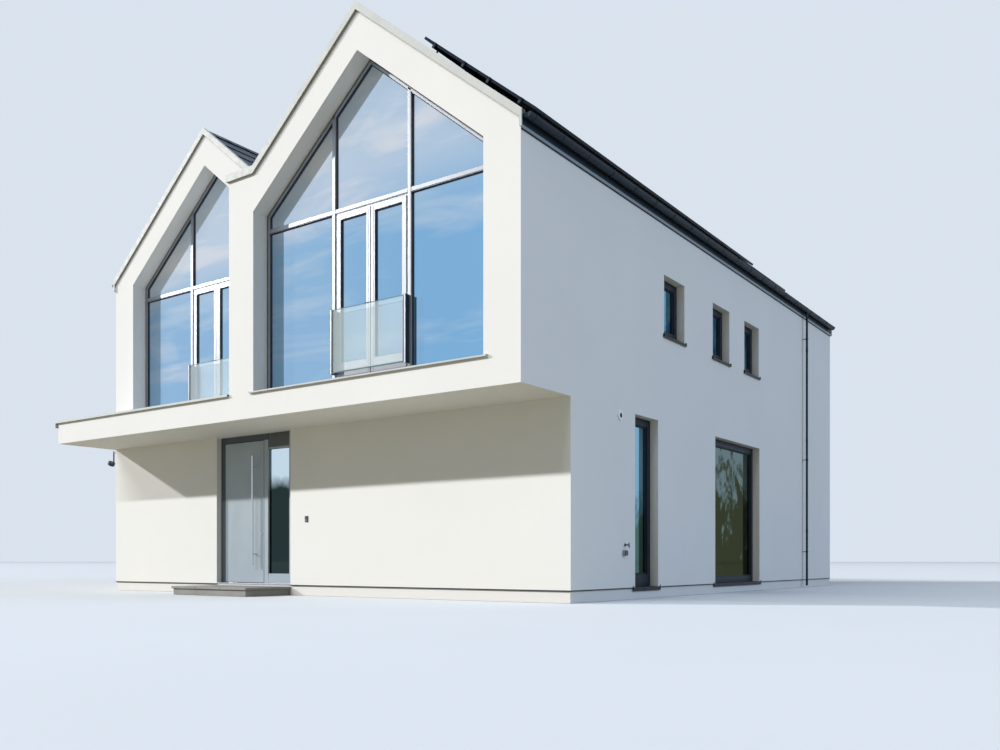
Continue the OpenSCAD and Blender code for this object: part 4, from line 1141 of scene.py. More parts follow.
class HOUSE_OT_gable_glazing(bpy.types.Operator):
    """Builds the rims, mullions, transoms, casement doors and panes of the two gables"""

    bl_idname = "house.gable_glazing"
    bl_label = "Gable glazing"
    bl_options = {"REGISTER", "UNDO"}

    def execute(self, context):
        s = sizes()
        bars, seals, panes, clips = [], [], [], []
        joint, edge = 0.020, 0.008
        for gable in GABLES.values():
            y = gable["face"] + GLAZE_BACK
            axis = gable["axis"]
            half = s.mullion_w / 2
            whole = opening(gable, joint)
            rim = ring_of("rim", whole, y + 0.006, y + BAR_D, s.rim_w - joint)
            rim_cap = ring_of("rim_cap", opening(gable, joint + 0.006), y, y + 0.012, s.rim_w - joint - 0.014)
            bars += [soften(rim, 0.002), soften(rim_cap, 0.002)]
            seals.append(ring_of("rim_joint", opening(gable), y + 0.010, y + BAR_D, joint + 0.001))
            for x in (axis - MULLION_X, axis + MULLION_X):
                post = between(whole, x - half, x + half)
                cap = between(whole, x - half + edge, x + half - edge)
                bars += self.capped("mullion", post, cap, y, 0)
            z0, z1 = TRANSOM
            for x0, x1 in posts_between(axis, half):
                rail = between(whole, x0, x1, z0, z1)
                cap = between(whole, x0, x1, z0 + edge, z1 - edge)
                bars += self.capped("transom", rail, cap, y, 0.001)
            fixed, pair = bays(gable, s.rim_w, half)
            for corners in fixed:
                seals.append(soften(ring_of("bead", corners, y + 0.020, y + BAR_D, 0.007), 0.0015, 1))
                inner = self.inside(corners, 0.007)
                seals.append(ring_of("gasket", inner, y + 0.030, y + BAR_D + 0.001, 0.005))
            self.casements(s, pair, y, bars, seals)
            glass, pair = bays(gable, 0.012, 0.003)
            panes += [pane_of("pane", corners, y) for corners in (*glass, pair)]
            z0, z1 = FLOOR + 1.074, FLOOR + 1.085
            clips.append(bar("rail_top_clip", (axis - 0.05, y - 0.0785, z0), (axis + 0.08, y - 0.0595, z1)))
        ride(join("rail_top_clips", clips), slot="steel", dress="anthracite_frame")
        ride(join("gable_frames", bars), "gable_bars", slot="satin_grey", dress="silver_frame")
        ride(join("gable_seals", seals), slot="anthracite", dress="black_gasket")
        ride(join("gable_panes", panes), "gable_glass", slot="glass", dress="gable_glass")
        return {"FINISHED"}

    @staticmethod
    def capped(name, whole, cap, y, back):
        """A bar with a narrower cap that stands proud of it, back metres behind the face y."""
        body = soften(slab_of(name, whole, y + 0.008, y + BAR_D), 0.002)
        return [body, soften(slab_of(name + "_cap", cap, y + back, y + 0.012), 0.0025)]

    @staticmethod
    def inside(corners, width):
        """A convex outline with every side moved inwards."""
        result = corners
        for (ax, az), (bx, bz) in zip(corners, corners[1:] + corners[:1]):
            run = math.hypot(bx - ax, bz - az)
            if run > 1e-6:
                nx, nz = (bz - az) / run, -(bx - ax) / run
                result = clipped(result, nx, nz, nx * ax + nz * az - width)
        return result

    @staticmethod
    def casements(s, pair, y, bars, seals):
        """Two doors between the mullions, each a leaf in a fixed frame."""
        x0, x1 = min(x for x, z in pair), max(x for x, z in pair)
        z0, z1 = min(z for x, z in pair), max(z for x, z in pair)
        mid = (x0 + x1) / 2
        reveal, stile, low_rail = 0.026, 0.078, 0.218
        fixed = ring_of("casement_frame", rectangle(x0, x1, z0, z1), y + 0.016, y + BAR_D, 0.034)
        bars.append(soften(fixed, 0.0015))
        for d in (-1, 1):
            a, b = sorted((mid + d * 0.006, (x0 if d < 0 else x1) - d * reveal))
            bottom, top = z0 + reveal, z1 - reveal
            leaf = ring_of("leaf", rectangle(a, b, bottom, top), y + 0.004, y + BAR_D - 0.006, stile)
            shift(leaf, lambda c, n: n.z > 0.5 and c.z < bottom + low_rail, (0, 0, low_rail - stile))
            bars.append(soften(leaf, 0.004))
            seal = rectangle(a, b, bottom, top, -0.005)
            seals.append(ring_of("leaf_seal", seal, y + 0.019, y + BAR_D, 0.02))
            pane = rectangle(a + stile, b - stile, bottom + low_rail, top - stile)
            seals.append(ring_of("leaf_gasket", pane, y + 0.016, y + BAR_D + 0.001, s.gasket_w))
        for d in (-1, 1):
            strip = rectangle(mid + d * 0.05 - 0.006, mid + d * 0.05 + 0.006, z0 + 0.05, z1 - 0.05)
            bars.append(soften(slab_of("stile_bead", strip, y + 0.001, y + 0.006), 0.0012, 1))
        for z in (z0 + 0.35, (z0 + z1) / 2, z1 - 0.3):
            for x in (x0 + reveal, x1 - reveal):
                hinge = drum("casement_hinge", (x, y + 0.008, z), 0.006, 0.09, sides=16)
                bars.append(soften(hinge, 0.0015, 1))


class HOUSE_OT_balustrades(bpy.types.Operator):
    """Builds the glass balustrades in front of the casement doors"""

    bl_idname = "house.balustrades"
    bl_label = "Balustrades"
    bl_options = {"REGISTER", "UNDO"}

    def execute(self, context):
        s = sizes()
        glass, edges, posts, studs, clips = [], [], [], [], []
        stand, thick, foot, top = 0.062, 0.014, 0.15, 1.08
        for gable in GABLES.values():
            y1 = gable["face"] + GLAZE_BACK - stand
            y0 = y1 - thick
            half = MULLION_X - s.mullion_w / 2
            x0, x1 = gable["axis"] - half, gable["axis"] + half
            z0, z1 = FLOOR + foot, FLOOR + top
            pane = block("rail_glass", (x0 + 0.002, y0, z0), (x1 - 0.002, y1, z1 - 0.004))
            glass.append(soften(pane, 0.002))
            for low, high in ((z1 - 0.006, z1), (z0 - 0.006, z0 + 0.012)):
                edges.append(bar("rail_edge", (x0, y0 - 0.002, low), (x1, y1 + 0.002, high), 0.0015, 1))
            for x, d in ((x0, -1), (x1, 1)):
                a, b = sorted((x, x + d * 0.032))
                post = block("rail_post", (a, y0 - 0.008, z0 - 0.02), (b, y1 + stand, z1 + 0.01))
                inset(post, facing(y=-1), 0.004, (0, 0.003, 0))
                posts.append(soften(post, 0.0015))
                near, far = sorted((x, x - d * 0.016))
                low, high = (near, y0 - 0.006, z0), (far, y1 + 0.006, z1 - 0.006)
                clips.append(bar("rail_clip", low, high, 0.0012, 1))
                if d > 0:
                    low, high = (b - 0.002, y0 + 0.004, z0 - 0.016), (b + 0.0008, y1 + 0.058, z1 + 0.006)
                    clips.append(bar("rail_back", low, high, 0.0006, 1))
                for z in (z0 + 0.12, (z0 + z1) / 2, z1 - 0.12):
                    stud = drum("rail_stud", ((a + b) / 2, y0 - 0.0065, z), 0.007, 0.003, "Y", 20)
                    inset(stud, facing(y=-1), 0.0015, (0, 0.0012, 0))
                    studs.append(stud)
        panes = join("balustrade_panes", glass)
        ride(panes, "balustrade_glass", slot="balustrade_glass", dress="balustrade_glass")
        ride(join("balustrade_edges", edges), slot="balustrade_glass", dress="glass_edge")
        ride(join("balustrade_posts", posts), "balustrade_fittings", slot="steel", dress="silver_frame")
        ride(join("balustrade_clips", clips), slot="steel", dress="anthracite_frame")
        ride(join("balustrade_studs", studs), slot="steel", dress="stainless")
        return {"FINISHED"}


# Side and rear windows


# Places behind the entrance wall, with the widths of the ground windows
UPPER_WINDOWS = (3.28, 5.26, 6.79)
GROUND_WINDOWS = ((2.281, 0.792), (6.102, 2.236))

# Depth of the reveals, widths of the rear and the upper windows, heights of the upper ones
REVEAL, REAR_W, UPPER_W = 0.13, 1.8, 0.78
UPPER_Z = (4.18, 5.16)
SIDE_GLASS = {
    "upper_side_glass": "upper_panes", "ground_side_glass": "ground_panes", "wide_side_glass": "wide_panes",
}


def wall_places():
    """Every side and rear window: its kind, and the matrix that sets it into its wall."""
    places = []

    def into(point, degrees):
        return Matrix.Translation(point) @ Matrix.Rotation(math.radians(degrees), 4, "Z")

    for x, turn in ((RIGHT, 90), (LEFT, -90)):
        places += [("upper", into((x, ENTRY + along, 0), turn)) for along in UPPER_WINDOWS]
        places.append(("slim", into((x, ENTRY + GROUND_WINDOWS[0][0], 0), turn)))
        places.append(("wide", into((x, ENTRY + GROUND_WINDOWS[1][0], 0), turn)))
    for axis in (-AXIS, AXIS):
        places.append(("rear_upper", into((axis, REAR, 0), 180)))
        places.append(("rear_low", into((axis, REAR, 0), 180)))
    return places


def window_kinds():
    """Width, heights, bottom rail, leaves and glass of each kind of window."""
    return {
        "upper": (UPPER_W, *UPPER_Z, 0.15, 1, "upper_side_glass"),
        "slim": (GROUND_WINDOWS[0][1], PLINTH, SOFFIT, 0.20, 1, "ground_side_glass"),
        "wide": (GROUND_WINDOWS[1][1], PLINTH, SOFFIT, 0.12, 1, "wide_side_glass"),
        "rear_upper": (REAR_W, *UPPER_Z, 0.15, 2, "upper_side_glass"),
        "rear_low": (REAR_W, PLINTH, SOFFIT, 0.20, 2, "ground_side_glass"),
    }


class HOUSE_OT_windows(bpy.types.Operator):
    """Builds each kind of side window once and sets its copies into the walls"""

    bl_idname = "house.windows"
    bl_label = "Side windows"
    bl_options = {"REGISTER", "UNDO"}

    def execute(self, context):
        s = sizes()
        made = {key: [] for key in ("frames", "seals", *SIDE_GLASS)}
        for kind, (wide, z0, z1, low, leaves, glass) in window_kinds().items():
            parts = {key: [] for key in made}
            self.window(s, wide, z0, z1, low, leaves, glass, parts)
            whole = {key: join(f"{kind}_{key}", pieces) for key, pieces in parts.items() if pieces}
            for other, matrix in wall_places():
                if other == kind:
                    for key, piece in whole.items():
                        made[key].append(copy_of(piece, matrix))
            for piece in whole.values():
                discard(piece)
        frames = join("side_frames", made["frames"])
        ride(frames, "window_frames", slot="anthracite", dress="anthracite_frame")
        ride(join("side_seals", made["seals"]), slot="anthracite", dress="black_gasket")
        for glass, name in SIDE_GLASS.items():
            nodes = ["window_glass"] if name == "upper_panes" else []
            ride(join(name, made[glass]), *nodes, slot="glass", dress=glass)
        return {"FINISHED"}

    @staticmethod
    def window(s, wide, z0, z1, low, leaves, glass, parts):
        """One window in the plane of its wall, -Y outside."""
        hw, y = wide / 2, REVEAL
        edge, frame_w = 0.045, 0.052
        frame_ring = ring_of("frame", rectangle(-hw, hw, z0, z1), y + 0.010, y + 0.11, frame_w)
        parts["frames"].append(soften(frame_ring, 0.002))
        spans = [(-hw + edge, hw - edge)] if leaves == 1 else [(-hw + edge, -0.004), (0.004, hw - edge)]
        for a, b in spans:
            sash = ring_of("sash", rectangle(a, b, z0 + edge, z1 - edge), y, y + 0.075, s.sash_w)
            lift = low - edge - s.sash_w
            shift(sash, lambda c, n: n.z > 0.5 and c.z < (z0 + z1) / 2, (0, 0, lift))
            parts["frames"].append(soften(sash, 0.004))
            light = (a + s.sash_w, b - s.sash_w, z0 + low, z1 - edge - s.sash_w)
            bead = ring_of("bead", rectangle(*light), y + 0.016, y + 0.045, s.bead_w)
            parts["frames"].append(soften(bead, 0.003, 1))
            gasket = ring_of("gasket", rectangle(*light, s.bead_w), y + 0.028, y + 0.041, s.gasket_w)
            seal = rectangle(a, b, z0 + edge, z1 - edge, -0.006)
            parts["seals"] += [gasket, ring_of("sash_seal", seal, y + 0.006, y + 0.03, 0.02)]
            pane = rectangle(a + 0.06, b - 0.06, z0 + low - 0.02, z1 - edge - 0.05)
            parts[glass].append(pane_of("pane", pane, y))


class HOUSE_OT_sills(bpy.types.Operator):
    """Folds the sills of the side windows and of the gable openings"""

    bl_idname = "house.sills"
    bl_label = "Sills"
    bl_options = {"REGISTER", "UNDO"}

    def execute(self, context):
        s = sizes()
        t = s.flashing_t
        made = []
        for kind, (wide, z0, *_) in window_kinds().items():
            upper = kind in ("upper", "rear_upper")
            out, past, high = (0.030, 0.036, 0.040) if upper else (0.012, 0.070, 0.062)
            top = z0 + 0.011
            half, face = wide / 2, -out + 0.001
            inner = folded("sill_pan", [(REVEAL, top), (-out + 0.003, top - 0.006)], (-half, half), t, "X")
            nose = [(0.0, top - 0.004), (face, top - 0.006), (face, top - high), (-out + 0.010, top - high)]
            front = folded("sill_front", nose, (-half - past + 0.006, half + past - 0.006), t, "X")
            parts = [soften(inner, 0.0008, 1), soften(front, 0.001)]
            for d in (-1, 1):
                x = d * (wide / 2 + past - 0.004)
                ear = block("sill_ear", (x - 0.004, -out, top - high), (x + 0.004, -0.0005, top + 0.021))
                round_off = min(0.009, out * 0.6)
                bevel(ear, lambda a, b: abs(a.x - b.x) > 0.001 and a.y < face and a.z > top, round_off, 3)
                parts.append(soften(ear, 0.0012, 1))
            sill = join(f"{kind}_sill", parts)
            made += [copy_of(sill, matrix) for other, matrix in wall_places() if other == kind]
            discard(sill)
        ride(join("side_sills", made), "window_sills", slot="anthracite", dress="anthracite_frame")
        made = []
        for key, gable in GABLES.items():
            y, x0, x1 = gable["face"], gable["axis"] - OPEN_HW, gable["end"]
            flush, past, edge = key == "left", 0.07, y - 0.038
            start, end = x0 - past, FLANK if flush else x1 + past
            wall = (y - 0.001, FLOOR + 0.0085)
            pan = folded("gable_sill", [(y + GLAZE_BACK, FLOOR + 0.012), wall], (x0, x1), t, "X")
            path = [wall, (edge, FLOOR + 0.006), (edge, FLOOR + 0.0012)]
            if not flush:
                path += [(edge, FLOOR - 0.014), (y - 0.030, FLOOR - 0.0155)]
            lip = folded("gable_nose", path, (start, end), t, "X")
            made += [soften(pan, 0.0008, 1), soften(lip, 0.001)]
            foot = FLOOR + 0.0005 if flush else FLOOR - 0.0155
            for x in (start, end - 0.006):
                low, high = (x, y - 0.039, foot), (x + 0.006, y - 0.001, FLOOR + 0.0135)
                made.append(bar("gable_sill_end", low, high, 0.0015))
        ride(join("gable_sill_sheets", made), "gable_sills", slot="light_metal", dress="white_flashing")
        return {"FINISHED"}


# Entrance


# The line on which the door turns
HINGE = Vector((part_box("door_leaf")[0].x + 0.009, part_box("door_leaf")[1].y - 0.009, 0.0))


class HOUSE_OT_entrance(bpy.types.Operator):
    """Builds the entrance screen, the door leaf with its pull bar, and the threshold"""

    bl_idname = "house.entrance"
    bl_label = "Entrance"
    bl_options = {"REGISTER", "UNDO"}

    def execute(self, context):
        x0, x1 = DOOR_X
        leaf_low, leaf_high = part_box("door_leaf")
        y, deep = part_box("door_frame")[0].y, 0.08
        back = y + deep
        z0, z1 = PLINTH + 0.02, SOFFIT
        jamb_w, post_w, side_w, light_w, head_h, rail_h = 0.118, 0.105, 0.141, 0.533, 0.11, 0.03
        left, right, foot, top = x1 - side_w - light_w, x1 - side_w, 0.328, 2.553
        leaf_left, leaf_right, head = x0 + jamb_w, left - post_w, z1 - head_h
        frame_parts, posts, seals = [], [], []
        for name, low, high in (
            ("jamb", (x0, y, z0), (leaf_left, back, z1)),
            ("post", (leaf_right, y, z0), (left, back, head)),
            ("side_jamb", (right, y, z0), (x1, back, z1)),
            ("head", (leaf_left, y, head), (left, back, z1)),
            ("low_panel", (left, y + 0.004, z0), (right, back, foot)),
        ):
            member = block(name, low, high)
            if name != "low_panel":
                inset(member, facing(y=-1), 0.009, (0, 0.004, 0))
            (frame_parts if name in ("jamb", "head") else posts).append(soften(member, 0.0025))
        for z in (foot, top - rail_h):
            posts.append(bar("light_rail", (left, y + 0.006, z), (right, y + 0.05, z + rail_h), 0.003))
        panel = bar("screen_panel", (left, y + 0.008, top), (right, y + 0.06, z1), 0.002)
        ride(panel, slot="satin_grey", dress="screen_panel")
        glazed = rectangle(left, right, foot + rail_h, top - rail_h)
        seals.append(ring_of("light_gasket", glazed, y + 0.034, y + 0.042, 0.006))
        ride(pane_of("sidelight_pane", glazed, y), slot="glass", dress="sidelight_glass")
        gap = rectangle(leaf_left, leaf_right, z0 + 0.0005, head)
        seals.append(ring_of("leaf_stop", gap, y + 0.030, y + 0.052, 0.0035))
        # The jamb and head take the darkened door satin as painted shade
        ride(join("screen_frame", frame_parts), "door_frame", slot="satin_grey", dress="door_painted_shade")
        ride(join("screen_posts", posts), slot="satin_grey", dress="door_satin")
        ride(join("screen_seals", seals), slot="anthracite", dress="black_gasket")
        start, end = (HINGE.x + 0.0025, leaf_low.y, leaf_low.z), (leaf_high.x, back, leaf_high.z)
        leaf = block("leaf_panel", start, end)
        for d in (-1, 1):
            inset(leaf, facing(y=d), 0.022, (0, -0.002 * d, 0))
        ride(soften(leaf, 0.003), "door_leaf", slot="satin_grey", body="front_door", dress="door_leaf_satin")
        self.hinges(back)
        self.hardware(leaf_low, leaf_high)
        self.threshold()
        return {"FINISHED"}

    @staticmethod
    def hinges(face):
        """Three hinges inside: knuckles with plates on the frame, barrels with plates on the leaf."""
        still, moving = [], []
        for z in (0.45, 1.40, 2.35):
            for parts, d, z0, z1 in ((still, -1, z, z + 0.040), (moving, 1, z + 0.0402, z + 0.1200)):
                barrel = drum("hinge_barrel", (HINGE.x, HINGE.y, (z0 + z1) / 2), 0.0088, z1 - z0, sides=28)
                parts.append(soften(barrel, 0.0008, 1))
                a, b = sorted((HINGE.x + d * 0.003, HINGE.x + d * 0.060))
                low = (a, face + (0.0002 if d < 0 else -0.002), z0 + 0.001)
                parts.append(bar("hinge_plate", low, (b, HINGE.y - 0.0032, z1 - 0.001), 0.0012, 1))
        ride(join("hinge_knuckles", still), slot="steel", dress="stainless")
        ride(join("hinge_barrels", moving), slot="steel", body="front_door", dress="stainless")

    @staticmethod
    def hardware(low, high):
        """The pull bar with its stand-offs, and the lock's rose."""
        pull_low, pull_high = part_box("door_pull")
        x = (pull_low.x + pull_high.x) / 2
        y = pull_low.y + 0.017
        z0, z1, from_end = pull_low.z, pull_high.z, 0.2
        parts = [rod("pull_bar", (x, y, (z0 + z1) / 2), 0.0165, z1 - z0)]
        for z in (z0 + from_end, z1 - from_end):
            stand_off = drum("stand_off", (x, (y + low.y) / 2, z), 0.0095, low.y - y, "Y", 24)
            rose = drum("stand_off_rose", (x, low.y - 0.0035, z), 0.016, 0.006, "Y", 32)
            parts += [soften(stand_off, 0.001, 1), soften(rose, 0.0015)]
        ride(join("pull_bar", parts), "door_pull", slot="steel", body="front_door", dress="stainless")
        rose = drum("lock_rose", (high.x - 0.055, low.y - 0.004, 1.05), 0.026, 0.008, "Y", 40)
        inset(rose, facing(y=-1), 0.013, (0, 0.004, 0), extrude=True)
        ride(soften(rose, 0.0012), slot="steel", body="front_door", dress="stainless")

    @staticmethod
    def threshold():
        """A ribbed metal threshold."""
        low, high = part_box("door_threshold")
        parts = [bar("threshold_plate", (low.x, low.y, low.z), (high.x, high.y, high.z - 0.003), 0.0015)]
        start, end = (low.x + 0.01, low.y + 0.006, high.z - 0.004), (high.x - 0.01, low.y + 0.012, high.z)
        parts.append(repeat(bar("threshold_rib", start, end, 0.001, 1), 7, (0, 0.013, 0)))
        ride(join("threshold_ribs", parts), "door_threshold", slot="steel", dress="stainless_flat")


# Rainwater goods


# Radius of the gutters, and how far their straps stand out round them
GUTTER_R, STRAP = 0.062, 0.0053
GUTTER_X = RIGHT + 0.02 + STRAP + GUTTER_R
GUTTER_Z = EAVE - DECK_DROP - 0.002 - SLOPE * (0.02 + STRAP + 0.005)
PIPE_Y = (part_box("downpipes")[0].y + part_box("downpipes")[1].y) / 2
PIPE_R = (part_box("downpipes")[1].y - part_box("downpipes")[0].y) / 2


def trough(name, radius, thick, run):
    """A half-round channel along Y, open at the top."""
    deselect()
    bpy.ops.mesh.primitive_cylinder_add(
        vertices=48, radius=radius, depth=run[1] - run[0], end_fill_type="NOTHING",
        location=(0, (run[0] + run[1]) / 2, 0), rotation=(math.pi / 2, 0, 0),
    )
    piece = named(name)
    take(piece)
    bpy.ops.object.mode_set(mode="EDIT")
    bpy.ops.mesh.select_all(action="SELECT")
    bpy.ops.mesh.bisect(plane_co=(0, 0, 0), plane_no=(0, 0, 1), use_fill=False, clear_outer=True)
    done()
    return finish_with(piece, "SOLIDIFY", thickness=thick, offset=-1)


def at_eave(side, y=0.0):
    """Sets a piece that is modelled round the gutter's centre on the right or, mirrored, on the left."""
    return Matrix.Translation((side * GUTTER_X, y, GUTTER_Z)) @ Matrix.Diagonal((side, 1, 1, 1))


class HOUSE_OT_gutters(bpy.types.Operator):
    """Builds the half-round gutters with beads, laps, stop ends and brackets"""

    bl_idname = "house.gutters"
    bl_label = "Gutters"
    bl_options = {"REGISTER", "UNDO"}

    def execute(self, context):
        s = sizes()
        gutters, straps = [], []
        short, clear, spacing = 0.085, 0.15, 0.7
        y1 = REAR - short
        for side, y0 in ((1, BAY), (-1, ENTRY)):
            parts = [trough("gutter", GUTTER_R, 0.0025, (y0 + 0.003, y1 - 0.003))]
            spot = (GUTTER_R - 0.006, (y0 + y1) / 2, -0.0065)
            parts.append(drum("gutter_bead", spot, 0.0062, y1 - y0 - 0.008, "Y", 16))
            low, high = (-GUTTER_R, y0 + 0.003, -0.001), (-GUTTER_R + 0.006, y1 - 0.003, 0.0)
            parts.append(bar("gutter_lip", low, high, 0.0004, 1))
            for v in seams(REAR - y0, STOCK):
                parts.append(trough("gutter_lap", GUTTER_R + 0.0015, 0.003, (y0 + v - 0.03, y0 + v + 0.03)))
            for y in (y0 + 0.002, y1 - 0.002):
                end = drum("stop_end", (0, y, 0), GUTTER_R, 0.004, "Y", 48)
                trim(end, (0, 0, 0), (0, 0, 1))
                parts.append(soften(end, 0.0008, 1))
            gutter = join("gutter_run", parts)
            gutters.append(placed(gutter, at_eave(side)))
            half = s.bracket_w / 2
            strap = trough("gutter_strap", GUTTER_R + STRAP, 0.0045, (-half, half))
            low, high = (GUTTER_R - 0.010, -half, -0.006), (GUTTER_R + STRAP, half, -0.0005)
            tip = bar("strap_tip", low, high, 0.001, 1)
            strap = join("gutter_strap", [soften(strap, 0.0008, 1), tip])
            for a, b in ((y0 + clear, PIPE_Y - clear), (PIPE_Y + clear, REAR - clear)):
                count = math.ceil((b - a) / spacing)
                for i in range(count + 1):
                    straps.append(copy_of(strap, at_eave(side, a + i * (b - a) / count)))
            discard(strap)
        for piece in gutters:
            smooth(piece)
        ride(join("gutter_runs", gutters), "eave_gutters", slot="dark_metal", dress="gutter_metal")
        straps += self.clips()
        ride(join("gutter_straps", straps), "rain_brackets", slot="dark_metal", dress="gutter_metal")
        return {"FINISHED"}

    @staticmethod
    def clips():
        """Split clips that hold the downpipes, each with its two small screws."""
        made = []
        high = 0.03
        for side in (1, -1):
            for z in (0.77, SOFFIT, GUTTER_Z - GUTTER_R - 0.6):
                ring = drum("pipe_clip", (GUTTER_X, PIPE_Y, z + high / 2), PIPE_R + 0.005, high, sides=40)
                inset(ring, lambda c, n: abs(n.z) > 0.5, 0.0045)
                parts = [soften(ring, 0.001, 1)]
                ear = PIPE_R + 0.0085
                for name, x0, x1, y, half, edge in (
                    ("clip_stem", RIGHT, GUTTER_X - PIPE_R - 0.003, PIPE_Y, 0.006, 0.008),
                    ("clip_foot", RIGHT, RIGHT + 0.004, PIPE_Y, 0.015, 0),
                    ("clip_ear", GUTTER_X - 0.008, GUTTER_X + 0.008, PIPE_Y - ear, 0.005, 0.004),
                    ("clip_ear", GUTTER_X - 0.008, GUTTER_X + 0.008, PIPE_Y + ear, 0.005, 0.004),
                ):
                    start, end = (x0, y - half, z + edge), (x1, y + half, z + high - edge)
                    parts.append(bar(name, start, end, 0.001, 1))
                clip = join("pipe_clip", parts)
                if side < 0:
                    placed(clip, Matrix.Diagonal((-1, 1, 1, 1)))
                made.append(clip)
        return made


class HOUSE_OT_downpipes(bpy.types.Operator):
    """Builds the downpipes with their outlets and sockets"""

    bl_idname = "house.downpipes"
    bl_label = "Downpipes"
    bl_options = {"REGISTER", "UNDO"}

    def execute(self, context):
        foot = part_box("downpipes")[0].z
        made = []
        for side in (1, -1):
            x = side * GUTTER_X
            top = GUTTER_Z - GUTTER_R
            shaft = drum("pipe", (x, PIPE_Y, (foot + top) / 2), PIPE_R - 0.0015, top - foot, sides=40)
            inset(shaft, facing(z=-1), 0.002, (0, 0, 0.06), extrude=True)
            parts = [soften(shaft, 0.001, 1)]
            spot, wider = (x, PIPE_Y, top - 0.045), PIPE_R + 0.004
            outlet = drum("outlet", spot, PIPE_R - 0.0008, 0.085, sides=40, top=wider)
            parts.append(soften(outlet, 0.002))
            for up in (1.2, 3.2, 5.2):
                parts.append(rod("socket", (x, PIPE_Y, foot + up), PIPE_R + 0.001, 0.08, "Z", 40, 0.0012))
            made.append(join("downpipe", parts))
        ride(join("downpipe_runs", made), "downpipes", slot="dark_metal", dress="gutter_metal")
        return {"FINISHED"}


class HOUSE_OT_fascias(bpy.types.Operator):
    """Builds the eave fascias with their joints and drip edges"""

    bl_idname = "house.fascias"
    bl_label = "Fascias"
    bl_options = {"REGISTER", "UNDO"}

    def execute(self, context):
        low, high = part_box("eave_fascias")
        made, drips, joint = [], [], 0.003
        for side, y0 in ((1, BAY), (-1, ENTRY)):
            a, b = sorted((side * RIGHT, side * (RIGHT + 0.018)))
            spots = [y0, *[y0 + v for v in seams(REAR - y0, STOCK)], REAR]
            for start, end in zip(spots, spots[1:]):
                start, end = start + joint / 2, end - joint / 2
                made.append(bar("fascia_board", (a, start, low.z + 0.050), (b, end, high.z), 0.002))
                made.append(bar("fascia_foot", (a, start, low.z + 0.001), (b, end, low.z + 0.013), 0.002))
            drip = ((0.001, 0.030), (0.001, 0.015), (0.019, 0.015), (0.019, 0.056))
            path = [(side * (RIGHT + x), low.z + z) for x, z in drip]
            drips.append(soften(folded("fascia_drip", path, (y0, REAR), 0.0015), 0.0005, 1))
        ride(join("fascia_boards", made), "eave_fascias", slot="fascia", dress="fascia_metal")
        ride(join("fascia_drips", drips), slot="fascia", dress="drip_metal")
        return {"FINISHED"}


# Solar array


class HOUSE_OT_solar_array(bpy.types.Operator):
    """Lays the framed panels on rails with clamps and hooks"""

    bl_idname = "house.solar_array"
    bl_label = "Solar array"
    bl_options = {"REGISTER", "UNDO"}

    def execute(self, context):
        long, wide, thick, gap, lift = 1.53, 1.16, 0.038, 0.02, 0.095
        first, low, under = 0.30, 0.06, 0.030 * COS
        panel = block("panel", (0, 0, 0), (wide, long, thick))
        pick_faces(panel, facing(z=1))
        bpy.ops.mesh.inset(thickness=0.011)
        bpy.ops.transform.translate(value=(0, 0, -0.0025))
        bpy.ops.uv.reset()
        done()
        paint(panel, "black_anodised", "solar_cells")
        for face in panel.data.polygons:
            if face.normal.z > 0.9 and abs(face.center.x - wide / 2) < 0.01 and face.area > 1.0:
                face.material_index = 1
        bevel(panel, lambda a, b: abs(a.z - b.z) > 0.03 or min(a.z, b.z) > thick - TINY, 0.0015, 1)
        lay = slope_matrix(1, False)
        full = round((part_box("solar_panels")[1].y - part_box("solar_panels")[0].y + gap) / (long + gap))
        fewer, overhang = 3, 0.03
        counts = (full - fewer, full)
        base = -under + lift
        made = []
        for row in (0, 1):
            for i in range(counts[row]):
                spot = (low + row * (wide + gap), BAY + first + i * (long + gap), base)
                made.append(copy_of(panel, lay @ Matrix.Translation(spot)))
        discard(panel)
        ride(join("solar_modules", made), "solar_panels", slot="solar")

        def across(name, y, half_x, half_y, z0, z1):
            """A box centred on the rail."""
            return block(name, (v - half_x, y - half_y, z0), (v + half_x, y + half_y, z1))

        rails, caps, clamps = [], [], []
        from_end, spacing = 0.08, 0.95
        start = BAY + first - overhang
        for row in (0, 1):
            run = counts[row] * (long + gap) - gap
            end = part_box("solar_rails")[1].y if row else BAY + first + run + overhang
            for part in (0.22, 0.78):
                v = low + row * (wide + gap) + part * wide
                rail = block("rail", (v - 0.02, start, base - 0.04), (v + 0.02, end, base))
                pick_faces(rail, lambda c, n: abs(n.x) > 0.5)
                bpy.ops.mesh.inset(thickness=0.012)
                bpy.ops.mesh.extrude_region_shrink_fatten(TRANSFORM_OT_shrink_fatten={"value": -0.006})
                done()
                rails.append(placed(soften(rail, 0.001, 1), lay))
                for y in (start, end):
                    cap = across("rail_cap", y, 0.0205, 0.002, base - 0.0405, base - 0.0005)
                    caps.append(placed(soften(cap, 0.001, 1), lay))
                spans = math.ceil((run - 2 * from_end) / spacing)
                for i in range(spans + 1):
                    y = BAY + first + from_end + i * (run - 2 * from_end) / spans
                    foot = across("hook_foot", y, 0.015, 0.02, 0.001 - under, 0.006 - under)
                    arm = across("hook_arm", y, 0.004, 0.015, 0.002 - under, base - 0.04)
                    rails.append(placed(soften(join("hook", [foot, arm]), 0.0008, 1), lay))
                for i in range(counts[row] + 1):
                    y = BAY + first + i * (long + gap) - gap / 2
                    clamp = across("clamp", y, 0.02, 0.009, base, base + thick + 0.0015)
                    inset(clamp, facing(z=1), 0.004, (0, 0, -0.001))
                    clamps.append(placed(soften(clamp, 0.0008, 1), lay))
        ride(join("solar_rail_set", rails), "solar_rails", slot="rails", dress="black_anodised")
        ride(join("solar_rail_caps", caps), slot="rails", dress="grey_plastic")
        ride(join("solar_clamps", clamps), slot="rails", dress="black_anodised")
        return {"FINISHED"}


# Small fittings


